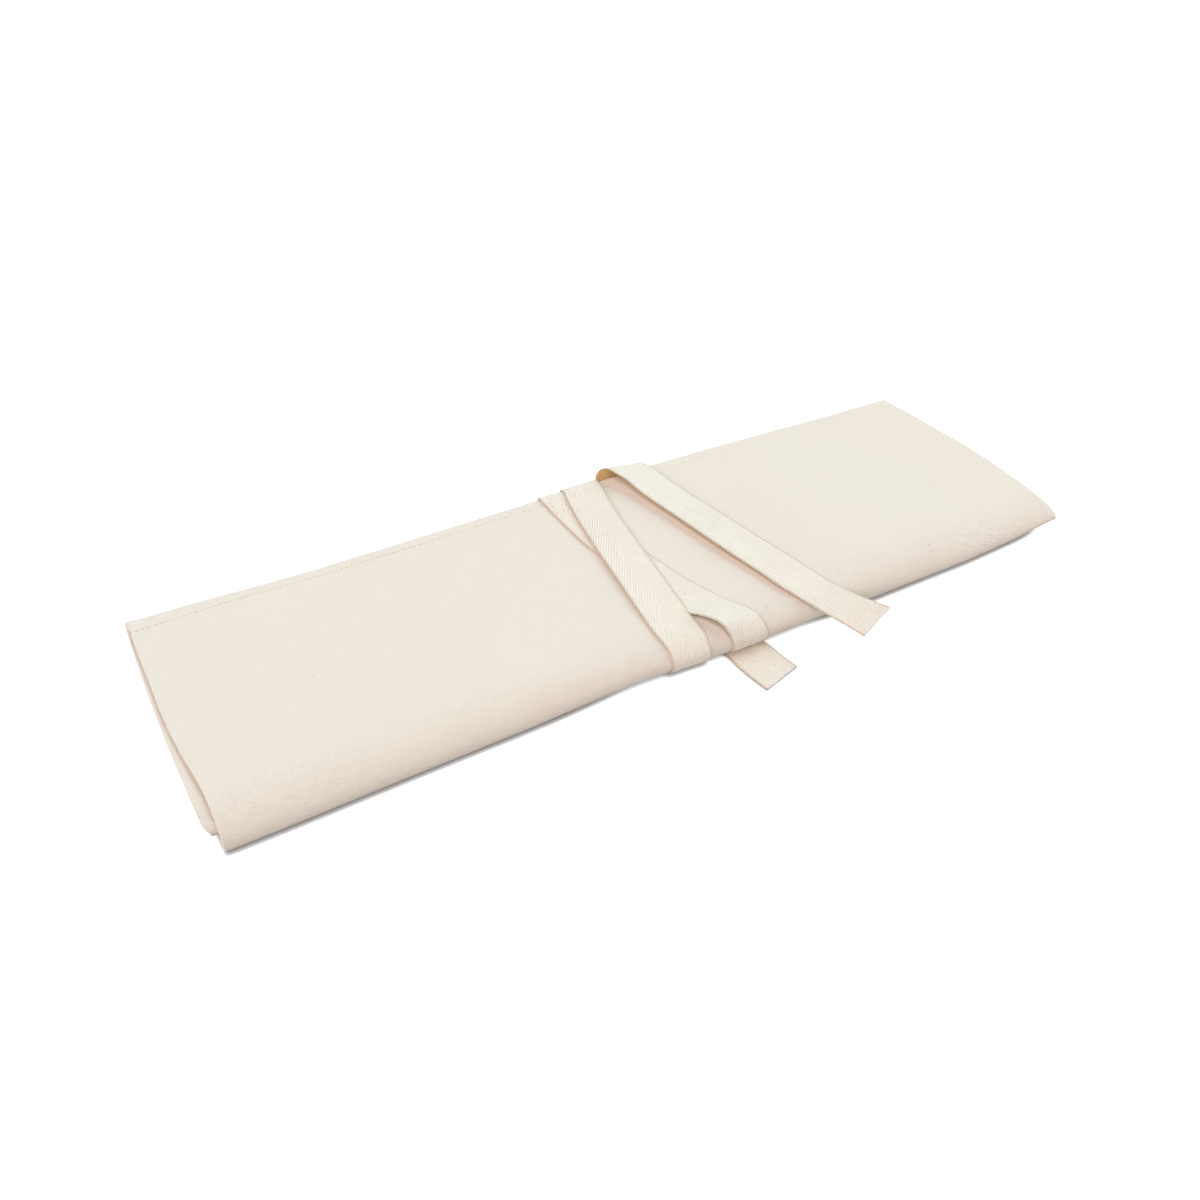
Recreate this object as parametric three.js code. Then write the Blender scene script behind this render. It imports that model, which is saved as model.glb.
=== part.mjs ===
// A canvas saw roll, empty, folded flat and tied with its tape. Millimetres, +Z up, X along the
// roll, the front fold towards -Y. One long canvas cover is folded in a flat spiral of four sections:
// flap, base, inner panel and core. A pocket panel is sewn to the inner face of the last three.
// A cotton tape, sewn at its middle to the flap's hem, is wound round the roll as two tails.
import * as THREE from "three";

// Canvas and tape
const CANVAS = 0.75;
const LAYER_GAP = 0.45;
const TAPE_WIDTH = 30;
const TAPE_THICK = 0.8;
const TAPE_GAP = 0.5;
const TAPE_BEND_START = 11;
const SIDE_TILT = 0.16;
const LOOP_LEAN = 2.2;
const SEAM_GAP = 0.35;

// Outer wrap (flap, front fold and base) and the bundle inside it, which sticks out at the left end.
// Each end runs askew and bows out in the middle: [x at the back, x at the front, bow]
const WRAP_LEFT = [-311.9, -304, -1.2];
const WRAP_RIGHT = [311, 313.6, 5.2];
const BUNDLE_LEFT = [-314.9, -309.6, -1.8];
const BUNDLE_RIGHT = [306, 308, 2];
const POCKET_SETBACK = 1;
const CORE_INSET = 3.2;

// Plan: where the free hem, the folds and the waist under the tape lie
const HEM_Y = 98.8;
const HEM_LEFT_FLARE = 5.2;
const HEM_RIGHT_DRAW = 7.8;
const HEM_WIDTH = 10;
const SIDE_HEM_WIDTH = 9;
const BACK_OVERHANG = 1.5;
const BACK_FOLD_DEPTH = 5.5;
const FRONT_EDGE_Y = -105.5;
const FRONT_FOLD_DEPTH = 7.5;
const SHOULDER = 28;
const SHOULDER_UNDER_TAPE = 15;
const NOSE = 0.46;
const WAIST = 4.4;
const CORE_SETBACK = 8;
const INNER_FOLD_SETBACK = 18;
const INNER_FOLD_DEPTH = 7;

// Heights of the roll's top above the surface it lies on
const BACK_HEIGHT = 12.3;
const BACK_RIGHT_DROP = 1.6;
const FRONT_HEIGHT = 20.6;
const FRONT_RIGHT_DROP = 6.4;
const TAPE_PRESS = 1.0;
const TIP_LIFT = 3.2;
const POCKET_SHARE = 0.55;
const BUNDLE_SHARE = 0.3;

// The tape runs under the roll in two layers, which lift the canvas there
const UNDER_LIFT = 2 * (TAPE_THICK + TAPE_GAP) + 0.05;
const SECOND_LAYER = TAPE_GAP + TAPE_THICK + TAPE_GAP;

// Facets
const COLUMNS = 24;
const PANEL_ROWS = 6;
const FOLD_ROWS = 7;
const FRONT_FOLD_ROWS = 10;

const CANVAS_COLOUR = 0xebe4d6;
const POCKET_COLOUR = 0xe6decd;
const TAPE_COLOUR = 0xf1ecdf;

const { clamp, lerp, smoothstep } = THREE.MathUtils;

// How strongly the tape's windings act at a place along the roll, from 0 to 1.
function tapeZone(x) {
  return smoothstep(x, -125, -38) * (1 - smoothstep(x, 76, 142));
}

// How far the pull of the tape draws the front fold in.
function waist(x) {
  return WAIST * smoothstep(x, -290, -60) * (1 - smoothstep(x, -60, 45));
}

function hemY(x) {
  return HEM_Y + HEM_LEFT_FLARE * smoothstep(-x, 220, 316) - HEM_RIGHT_DRAW * smoothstep(x, 60, 310);
}

function backFoldY(x) {
  return hemY(x) + BACK_OVERHANG - BACK_FOLD_DEPTH;
}

function frontEdgeY(x) {
  return FRONT_EDGE_Y + waist(x);
}

// Where the base turns up into the front fold.
function frontFoldY(x) {
  return frontEdgeY(x) + FRONT_FOLD_DEPTH;
}

// Where the bundle inside the wrap has its own fold.
function innerFoldY(x) {
  return frontEdgeY(x) + INNER_FOLD_SETBACK;
}

// How far behind the front edge the flap starts to turn down: a soft, wide bend but for the tape's pull.
function shoulder(x) {
  return lerp(SHOULDER, SHOULDER_UNDER_TAPE, tapeZone(x));
}

function shoulderY(x) {
  return frontEdgeY(x) + shoulder(x);
}

// Underside of the base.
function underside(x, y) {
  const front = (hemY(x) - y) / (hemY(x) - frontFoldY(x));
  return UNDER_LIFT * tapeZone(x) + TIP_LIFT * smoothstep(x, 270, 316) * smoothstep(front, 0.6, 1);
}

// Top of the flap behind its shoulder.
function crown(x, y) {
  const back = BACK_HEIGHT - BACK_RIGHT_DROP * smoothstep(x, 120, 310);
  const front = FRONT_HEIGHT - TAPE_PRESS * tapeZone(x) - FRONT_RIGHT_DROP * smoothstep(x, 120, 330);
  const share = clamp((hemY(x) - y) / (hemY(x) - shoulderY(x)), 0, 1);
  return lerp(back, front, Math.sin((share * Math.PI) / 2));
}

// Height of the front fold's foremost line.
function nose(x) {
  return lerp(underside(x, frontFoldY(x)), crown(x, shoulderY(x)), NOSE);
}

// Top of the flap and of its bend down to the front edge.
function topside(x, y) {
  const past = clamp((shoulderY(x) - y) / shoulder(x), 0, 1);
  return lerp(nose(x), crown(x, y), Math.sqrt(1 - past * past));
}

// Undersides of the stacked layers at a place, from the base up to the flap.
function layers(x, y) {
  const step = CANVAS + LAYER_GAP;
  const hemRoom = 2 * LAYER_GAP + CANVAS;
  const base = underside(x, y);
  const flap = topside(x, y) - CANVAS;
  const spare = flap - base - 5 * step - CANVAS - hemRoom;
  const pocketBase = base + step + POCKET_SHARE * spare;
  const core = pocketBase + step;
  const pocketCore = core + step;
  const pocketInner = pocketCore + step + BUNDLE_SHARE * spare;
  const inner = pocketInner + step + (1 - POCKET_SHARE - BUNDLE_SHARE) * spare;
  return { base, pocketBase, core, pocketCore, pocketInner, inner, flap };
}

// X of a point: along runs from 0 at the left end to 1 at the right, y is its place from back to front.
function endX([back, front, bow], y) {
  const place = clamp((hemY(0) - y) / (hemY(0) - frontFoldY(0)), 0, 1);
  return lerp(back, front, place) + bow * Math.sin(place * Math.PI);
}

function wrapX(along, y) {
  return lerp(endX(WRAP_LEFT, y), endX(WRAP_RIGHT, y), along);
}

function bundleX(along, y) {
  return lerp(endX(BUNDLE_LEFT, y), endX(BUNDLE_RIGHT, y), along);
}

// The inner fold and the core inside it lie a little further in at the left end than the panel over them.
function coreX(along, y) {
  return lerp(endX(BUNDLE_LEFT, y) + CORE_INSET, endX(BUNDLE_RIGHT, y), along);
}

function pocketX(along, y) {
  return lerp(endX(BUNDLE_LEFT, y) + POCKET_SETBACK, endX(BUNDLE_RIGHT, y), along);
}

function pocketCoreX(along, y) {
  return lerp(endX(BUNDLE_LEFT, y) + CORE_INSET + POCKET_SETBACK, endX(BUNDLE_RIGHT, y), along);
}

// One closed sheet of cloth. outer(i, j) gives its outer face on a grid of 0 to 1 by 0 to 1, and the
// cloth's thickness lies behind that face; a negative thickness lies in front of it.
function clothSheet(outer, columns, rows, thickness) {
  const at = (i, j) => outer(i / columns, j / rows);
  const positions = [];
  const inner = [];
  for (let i = 0; i <= columns; i++) {
    for (let j = 0; j <= rows; j++) {
      const point = at(i, j);
      const alongI = at(Math.min(i + 1, columns), j).sub(at(Math.max(i - 1, 0), j));
      const alongJ = at(i, Math.min(j + 1, rows)).sub(at(i, Math.max(j - 1, 0)));
      const normal = alongI.cross(alongJ).normalize();
      positions.push(...point.toArray());
      inner.push(...point.addScaledVector(normal, -thickness).toArray());
    }
  }
  const half = positions.length / 3;
  const index = [];
  const quad = (a, b, c, d) => index.push(a, b, c, a, c, d);
  const id = (i, j) => i * (rows + 1) + j;
  for (let i = 0; i < columns; i++) {
    for (let j = 0; j < rows; j++) {
      const corners = [id(i, j), id(i + 1, j), id(i + 1, j + 1), id(i, j + 1)];
      quad(...corners);
      quad(...corners.reverse().map((k) => k + half));
    }
    quad(id(i, 0), id(i, 0) + half, id(i + 1, 0) + half, id(i + 1, 0));
    quad(id(i + 1, rows), id(i + 1, rows) + half, id(i, rows) + half, id(i, rows));
  }
  for (let j = 0; j < rows; j++) {
    quad(id(0, j + 1), id(0, j + 1) + half, id(0, j) + half, id(0, j));
    quad(id(columns, j), id(columns, j) + half, id(columns, j + 1) + half, id(columns, j + 1));
  }
  if (thickness < 0) index.reverse();
  const geometry = new THREE.BufferGeometry();
  geometry.setAttribute("position", new THREE.Float32BufferAttribute(positions.concat(inner), 3));
  geometry.setIndex(index);
  geometry.computeVertexNormals();
  return geometry;
}

const roll = new THREE.Group();

function addPiece(name, geometry, colour) {
  const material = new THREE.MeshStandardMaterial({ color: colour, roughness: 0.9, metalness: 0 });
  const mesh = new THREE.Mesh(geometry, material);
  mesh.name = name;
  roll.add(mesh);
}

// A flat section of the spiral between its back and front edges. place is its X rule, height(x, y) its
// outer face.
function panel(place, back, front, height, facesUp) {
  const outer = (along, across) => {
    const share = facesUp ? 1 - across : across;
    const x = place(along, lerp(back(0), front(0), share));
    const y = lerp(back(x), front(x), share);
    return new THREE.Vector3(x, y, height(x, y));
  };
  return clothSheet(outer, COLUMNS, PANEL_ROWS, CANVAS);
}

// A fold that joins two sections: half an ellipse from the lower section's outer face to the upper
// one's. towards is -1 for a fold at the front and 1 for one at the back.
function fold(place, start, depth, low, high, towards) {
  const outer = (along, round) => {
    const turn = Math.PI * (towards < 0 ? 0.5 - round : round - 0.5);
    const x = place(along, start(0));
    const y = start(x);
    const middle = (high(x, y) + low(x, y)) / 2;
    const half = (high(x, y) - low(x, y)) / 2;
    return new THREE.Vector3(x, y + towards * depth * Math.cos(turn), middle + half * Math.sin(turn));
  };
  return clothSheet(outer, COLUMNS, FOLD_ROWS, -CANVAS);
}

// The cover's front fold: a wide bend from the flap's shoulder to the nose, then a tight one to the base.
function frontBend(x, turn, lift) {
  const upper = turn > 0;
  const reach = upper ? shoulder(x) : FRONT_FOLD_DEPTH;
  const rise = upper ? crown(x, shoulderY(x)) - nose(x) : nose(x) - underside(x, frontFoldY(x));
  const y = frontEdgeY(x) + reach - reach * Math.cos(turn);
  const bend = (Math.PI / 2) * (upper ? Math.min(1, turn / foldStart(x)) : turn / (Math.PI / 2));
  return [y - lift * Math.cos(bend), nose(x) + rise * Math.sin(turn) + lift * Math.sin(bend)];
}

// Turn of the wide bend where a tape on it leaves the roll's top.
function foldStart(x) {
  return Math.acos(1 - TAPE_BEND_START / shoulder(x));
}

// A strip turned in under the flap along one of its ends. inwards is 1 at the left end, -1 at the right.
function sideHem(end, inwards) {
  const outer = (along, across) => {
    const share = 1 - across;
    const back = (x) => hemY(x) - HEM_WIDTH - SEAM_GAP;
    const edge = endX(end, lerp(back(0), shoulderY(0), share));
    const x = edge + inwards * SIDE_HEM_WIDTH * (inwards > 0 ? along : 1 - along);
    const y = lerp(back(x), shoulderY(x) + SEAM_GAP, share);
    return new THREE.Vector3(x, y, topside(x, y) - CANVAS - LAYER_GAP);
  };
  return clothSheet(outer, 2, PANEL_ROWS, CANVAS);
}

// Cover, from the free hem inwards along the spiral
const coreEdge = (x) => backFoldY(x) - CORE_SETBACK;
const panelEdge = (x) => backFoldY(x) - SEAM_GAP;
const foldEdge = (x) => frontFoldY(x) + SEAM_GAP;
const bundleEdge = (x) => innerFoldY(x) + SEAM_GAP;
const flapEdge = (x) => shoulderY(x) + SEAM_GAP;

addPiece("cover_flap", panel(wrapX, hemY, flapEdge, topside, true), CANVAS_COLOUR);

const hemStrip = clothSheet(
  (along, across) => {
    const x = wrapX(along, hemY(0));
    const y = hemY(x) - HEM_WIDTH * (1 - across);
    return new THREE.Vector3(x, y, topside(x, y) - CANVAS - LAYER_GAP);
  },
  COLUMNS,
  1,
  CANVAS,
);
addPiece("flap_edge_hem", hemStrip, CANVAS_COLOUR);
addPiece("flap_left_hem", sideHem(WRAP_LEFT, 1), CANVAS_COLOUR);
addPiece("flap_right_hem", sideHem(WRAP_RIGHT, -1), CANVAS_COLOUR);

const frontFold = clothSheet(
  (along, round) => {
    const turn = Math.PI * (0.5 - round);
    const [nominalY] = frontBend(0, turn, 0);
    const x = wrapX(along, nominalY);
    return new THREE.Vector3(x, ...frontBend(x, turn, 0));
  },
  COLUMNS,
  FRONT_FOLD_ROWS,
  -CANVAS,
);
addPiece("cover_front_fold", frontFold, CANVAS_COLOUR);

addPiece("cover_base", panel(wrapX, panelEdge, foldEdge, underside, false), CANVAS_COLOUR);

const innerTop = (x, y) => layers(x, y).inner + CANVAS;
const backFold = fold(wrapX, backFoldY, BACK_FOLD_DEPTH, underside, innerTop, 1);
addPiece("cover_back_fold", backFold, CANVAS_COLOUR);
addPiece("cover_inner_panel", panel(bundleX, panelEdge, bundleEdge, innerTop, true), CANVAS_COLOUR);

const coreLow = (x, y) => layers(x, y).core;
const innerFold = fold(coreX, innerFoldY, INNER_FOLD_DEPTH, coreLow, innerTop, -1);
addPiece("cover_inner_fold", innerFold, CANVAS_COLOUR);
addPiece("cover_core_panel", panel(coreX, coreEdge, bundleEdge, coreLow, false), CANVAS_COLOUR);

// Pocket panel, sewn inside the last three sections and folded with them
const nested = CANVAS + 2 * LAYER_GAP;
const pocketBaseLow = (x, y) => layers(x, y).pocketBase;
const pocketInnerTop = (x, y) => layers(x, y).pocketInner + CANVAS;
const pocketCoreLow = (x, y) => layers(x, y).pocketCore;

addPiece("saw_pocket_base", panel(pocketX, panelEdge, bundleEdge, pocketBaseLow, false), POCKET_COLOUR);

const pocketBackDepth = BACK_FOLD_DEPTH - nested;
const pocketBackFold = fold(pocketX, backFoldY, pocketBackDepth, pocketBaseLow, pocketInnerTop, 1);
addPiece("saw_pocket_back_fold", pocketBackFold, POCKET_COLOUR);
addPiece("saw_pocket_inner", panel(pocketX, panelEdge, bundleEdge, pocketInnerTop, true), POCKET_COLOUR);

const pocketFoldDepth = INNER_FOLD_DEPTH - nested;
const pocketFold = fold(pocketCoreX, innerFoldY, pocketFoldDepth, pocketCoreLow, pocketInnerTop, -1);
addPiece("saw_pocket_inner_fold", pocketFold, POCKET_COLOUR);
addPiece("saw_pocket_core", panel(pocketCoreX, coreEdge, bundleEdge, pocketCoreLow, false), POCKET_COLOUR);

// Tape. A place round the closed roll is a turn: 0 to 1 over the top from the hem to the front fold,
// 1 to 2 round the front fold, 2 to 3 under the base to the back, 3 to 4 up round the back. lift is the
// tape's height off the canvas.
const BACK_SQUARENESS = 0.5;

function outline(x, turn, lift) {
  const lap = turn - 4 * Math.floor(turn / 4);
  const leg = Math.floor(lap);
  const t = lap - leg;
  const back = backFoldY(x);
  if (leg === 0) {
    const y = lerp(back, frontEdgeY(x) + TAPE_BEND_START, t);
    return [y, topside(x, y) + lift];
  }
  if (leg === 1) {
    const bend = t < 0.5 ? foldStart(x) * (1 - 2 * t) : (Math.PI / 2) * (1 - 2 * t);
    return frontBend(x, bend, lift);
  }
  if (leg === 2) {
    const y = lerp(frontFoldY(x), back, t);
    return [y, underside(x, y) - lift];
  }
  const angle = Math.PI * (t - 0.5);
  const [low, high] = [underside(x, back), topside(x, back)];
  const reach = BACK_FOLD_DEPTH + lift;
  const half = (high - low) / 2 + lift;
  const square = (value) => Math.sign(value) * Math.abs(value) ** BACK_SQUARENESS;
  return [back + reach * square(Math.cos(angle)), (high + low) / 2 + half * square(Math.sin(angle))];
}

// Value between the keys of a route, eased by a curve through them.
function keyed(keys, column, turn) {
  const forwards = keys[keys.length - 1][0] > keys[0][0] ? 1 : -1;
  let k = 0;
  while (k < keys.length - 2 && (turn - keys[k + 1][0]) * forwards > 0) k++;
  const [a, b] = [keys[k], keys[k + 1]];
  const before = keys[Math.max(k - 1, 0)];
  const after = keys[Math.min(k + 2, keys.length - 1)];
  const span = b[0] - a[0];
  const t = clamp((turn - a[0]) / span, 0, 1);
  const slope = (p, q) => ((q[column] - p[column]) / (q[0] - p[0])) * span;
  const secant = b[column] - a[column];
  const steepest = 3 * Math.abs(secant);
  const ease = (s) => (s * secant <= 0 ? 0 : Math.sign(s) * Math.min(Math.abs(s), steepest));
  const m0 = ease(slope(before, b));
  const m1 = ease(slope(a, after));
  const h1 = t * t * t - 2 * t * t + t;
  const h2 = 3 * t * t - 2 * t * t * t;
  return a[column] + h1 * m0 + h2 * secant + (t * t * t - t * t) * m1;
}

// The loose loop behind the roll leans: its left edge stands higher than its right one.
function loopLean(turn) {
  return LOOP_LEAN * smoothstep(turn, 3.4, 4) * (1 - smoothstep(turn, 4, 4.3));
}

// Places of a tail: its winding by turns, then the hand-laid points of its free end. Each gives the
// point that lies some way across the tape, on the canvas there.
function tailRoute(keys, steps, freeEnd) {
  const places = [];
  for (let k = 0; k + 1 < keys.length; k++) {
    const count = Math.max(1, Math.round(Math.abs(keys[k + 1][0] - keys[k][0]) * steps));
    for (let i = 0; i < count; i++) {
      const turn = lerp(keys[k][0], keys[k + 1][0], i / count);
      const x = keyed(keys, 1, turn);
      const lift = (across) => keyed(keys, 2, turn) - loopLean(turn) * (across / TAPE_WIDTH) * 2;
      const point = (across) => outline(x + across, turn, lift(across));
      places.push((across) => new THREE.Vector3(x + across, ...point(across)));
    }
  }
  freeEnd.forEach(([x, y, z, curl]) => {
    places.push((across) => new THREE.Vector3(x + across, y, z + curl * across));
  });
  return places;
}

// Flat tape along a route, its inner face on the route. slant cuts its end on the bias.
function tapeAlong(places, slant) {
  const points = places.map((place) => place(0));
  const last = points.length - 1;
  return (along, across) => {
    const i = Math.round(along * last);
    const run = points[Math.min(i + 1, last)].clone().sub(points[Math.max(i - 1, 0)]).normalize();
    const tilt = clamp(run.x, -SIDE_TILT, SIDE_TILT);
    const side = new THREE.Vector3(1, 0, 0).addScaledVector(run, -tilt).normalize();
    const shift = (across - 0.5) * TAPE_WIDTH;
    const point = places[i](side.x * shift);
    point.y += side.y * shift;
    point.z += side.z * shift;
    return point.addScaledVector(run, i === last ? (0.5 - across) * slant : 0);
  };
}

// Least clear distance between stretches of one tail that lie one over the other.
function leastGap(points) {
  const along = [0];
  points.slice(1).forEach((p, i) => along.push(along[i] + p.distanceTo(points[i])));
  let least = Infinity;
  points.forEach((a, i) => {
    points.forEach((b, j) => {
      if (along[j] - along[i] < 3 * TAPE_WIDTH || Math.abs(a.x - b.x) > TAPE_WIDTH) return;
      least = Math.min(least, Math.hypot(a.y - b.y, a.z - b.z) - TAPE_THICK);
    });
  });
  return least;
}

// Upper tail: over the top to the front fold, under the base, up behind in a loose loop, over the top
// again to a free end that stands out past the front fold. Keys: turn, x, lift. Free end: x, y, z, curl.
const UPPER_KEYS = [
  [0.118, 0.5, TAPE_GAP],
  [0.32, 1.5, TAPE_GAP],
  [0.45, 4.2, TAPE_GAP],
  [0.56, 6.2, TAPE_GAP],
  [0.73, 13, TAPE_GAP],
  [0.82, 18.8, TAPE_GAP],
  [0.9, 25.4, TAPE_GAP],
  [0.99, 32.6, TAPE_GAP],
  [1.1, 36, TAPE_GAP],
  [2, 36, TAPE_GAP],
  [3, 50.8, TAPE_GAP],
  [3.35, 51, 1],
  [3.6, 53, 3.4],
  [4, 61.5, 5],
  [4.06, 65.2, 4],
  [4.16, 69.2, 1.7],
  [4.38, 75.4, TAPE_GAP],
  [4.63, 82.4, TAPE_GAP],
  [4.82, 89.6, TAPE_GAP],
  [4.92, 92.9, TAPE_GAP],
  [4.99, 96.3, TAPE_GAP],
];
const UPPER_END = [
  [99.6, -104, 19.8, 0],
  [103.6, -115.5, 19.6, 0.03],
  [108.4, -127, 18.9, 0.1],
  [113, -138.2, 18, 0.19],
];
const UPPER_SLANT = 4.5;

// Lower tail: over the hem, under the base, up round the front fold, over the top across the upper tail,
// over the back edge again and under the base to a free end on the surface in front.
const LOWER_KEYS = [
  [0.001, 0.8, TAPE_GAP],
  [-1, 1, TAPE_GAP],
  [-2, -8, TAPE_GAP],
  [-2.5, -8.5, TAPE_GAP],
  [-2.9, -7.2, TAPE_GAP],
  [-3.02, -5.9, TAPE_GAP],
  [-3.12, -5, SECOND_LAYER],
  [-3.3, -1.2, SECOND_LAYER],
  [-3.56, 4.7, SECOND_LAYER],
  [-3.8, 11.5, SECOND_LAYER],
  [-4, 18.3, SECOND_LAYER],
  [-5, 19.1, SECOND_LAYER],
  [-6, 35.4, SECOND_LAYER],
];
const LOWER_END = [
  [36, -101, TAPE_THICK, 0],
  [37.4, -112, TAPE_THICK, 0],
  [39, -124, TAPE_THICK, 0],
  [41.2, -135.2, TAPE_THICK, 0],
];
const LOWER_SLANT = 3.4;
const STEPS_PER_LEG = 9;
const ANCHOR_X = 0.5;

function addTail(name, keys, freeEnd, slant, outside) {
  const places = tailRoute(keys, STEPS_PER_LEG, freeEnd);
  const sheet = clothSheet(tapeAlong(places, slant), places.length - 1, 1, outside * TAPE_THICK);
  addPiece(name, sheet, TAPE_COLOUR);
  const gap = leastGap(places.map((place) => place(0)));
  console.log(name + ": least gap to itself " + gap.toFixed(2) + " mm");
}

const anchor = clothSheet(
  (along, across) => {
    const x = ANCHOR_X + lerp(-TAPE_WIDTH / 2, TAPE_WIDTH / 2, along);
    const turn = lerp(0.108, 0.003, across);
    return new THREE.Vector3(x, ...outline(x, turn, TAPE_GAP));
  },
  2,
  2,
  -TAPE_THICK,
);
addPiece("tape_anchor", anchor, TAPE_COLOUR);
addTail("tape_upper_tail", UPPER_KEYS, UPPER_END, UPPER_SLANT, -1);
addTail("tape_lower_tail", LOWER_KEYS, LOWER_END, LOWER_SLANT, 1);

export default roll;
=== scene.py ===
"""Dressed model of an empty canvas saw roll, folded flat and tied with its cotton tape."""

import logging
import math
from collections.abc import Callable
from dataclasses import dataclass, field
from enum import Enum

import bpy
import numpy as np
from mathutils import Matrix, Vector


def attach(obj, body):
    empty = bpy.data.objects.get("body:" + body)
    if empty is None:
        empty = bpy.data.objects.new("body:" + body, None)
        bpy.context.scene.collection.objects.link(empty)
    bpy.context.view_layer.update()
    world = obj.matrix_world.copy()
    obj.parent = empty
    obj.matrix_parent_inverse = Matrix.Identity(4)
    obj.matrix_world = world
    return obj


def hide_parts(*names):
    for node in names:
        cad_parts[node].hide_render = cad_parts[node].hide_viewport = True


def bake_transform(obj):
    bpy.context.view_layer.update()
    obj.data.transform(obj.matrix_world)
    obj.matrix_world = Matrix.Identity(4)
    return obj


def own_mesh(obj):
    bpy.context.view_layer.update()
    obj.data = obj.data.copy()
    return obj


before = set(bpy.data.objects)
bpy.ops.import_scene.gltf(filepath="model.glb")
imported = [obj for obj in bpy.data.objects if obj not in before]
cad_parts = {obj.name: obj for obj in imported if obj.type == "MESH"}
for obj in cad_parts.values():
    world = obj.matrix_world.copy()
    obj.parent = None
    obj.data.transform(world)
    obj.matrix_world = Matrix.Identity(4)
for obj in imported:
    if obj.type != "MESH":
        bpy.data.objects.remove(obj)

Array = np.ndarray
Span = tuple[float, float]
Keys = tuple[tuple[float, ...], ...]
MM = 0.001
TINY = 1e-12
# Turns of the tape in one way round the roll, and the turn where it leaves the base for the back fold.
LAP = 4.0
UNDER_BACK = 3.0
LOG = logging.getLogger("saw_roll")


def ease(value: Array | float, start: float, stop: float) -> Array:
    """Smooth step from 0 at start to 1 at stop.

    Args:
        value: Places to weigh.
        start: Place where the step begins.
        stop: Place where it is complete.

    Returns:
        Weights from 0 to 1.
    """
    t = np.clip((np.asarray(value, float) - start) / (stop - start), 0.0, 1.0)
    return t * t * (3.0 - 2.0 * t)


def mix(a: Array | float, b: Array | float, share: Array | float) -> Array:
    """Value part of the way from a to b."""
    return a + (b - a) * share


def unit(vectors: Array) -> Array:
    """Vectors of length one along the last axis."""
    return vectors / np.maximum(np.linalg.norm(vectors, axis=-1, keepdims=True), TINY)


def keyed(keys: Keys, column: int, turn: Array) -> Array:
    """Values between the keys of a route, on a curve through them that never overshoots.

    Args:
        keys: Rows that start with a place on the route.
        column: Which value of the rows to read.
        turn: Places on the route to read it at.

    Returns:
        The values.
    """
    table = np.array(keys, float)
    if table[-1, 0] < table[0, 0]:
        table = table[::-1]
    at, value = table[:, 0], table[:, column]
    secant = np.diff(value) / np.diff(at)
    slope = np.gradient(value, at)
    slope[1:-1] = (value[2:] - value[:-2]) / (at[2:] - at[:-2])
    k = np.clip(np.searchsorted(at, turn, side="right") - 1, 0, len(at) - 2)

    def held(rate: Array) -> Array:
        """Slope at a key, kept within what its span allows."""
        limited = np.sign(rate) * np.minimum(np.abs(rate), 3 * np.abs(secant[k]))
        return np.where(rate * secant[k] <= 0, 0, limited)

    span = at[k + 1] - at[k]
    t = np.clip((turn - at[k]) / span, 0, 1)
    rise = (t**3 - 2 * t**2 + t) * held(slope[k]) + (t**3 - t**2) * held(slope[k + 1])
    return value[k] + span * rise + (3 * t**2 - 2 * t**3) * (value[k + 1] - value[k])


@dataclass(frozen=True)
class End:
    """One end of a folded stack, seen from above, in millimetres."""

    back: float
    front: float
    bow: float


# Rows of a flap edge's waves: share of the way from the hem to the front, shift in X.
LEFT_WAVES: Keys = ((0, 0), (0.1, -1.8), (0.35, -2.3), (0.55, -3), (0.72, -2.1), (0.88, -0.2), (1, 0))
RIGHT_WAVES: Keys = ((0, 0.8), (0.3, 0.2), (0.6, 2.2), (0.85, 3.8), (0.94, 4), (1, 2.6))


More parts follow.
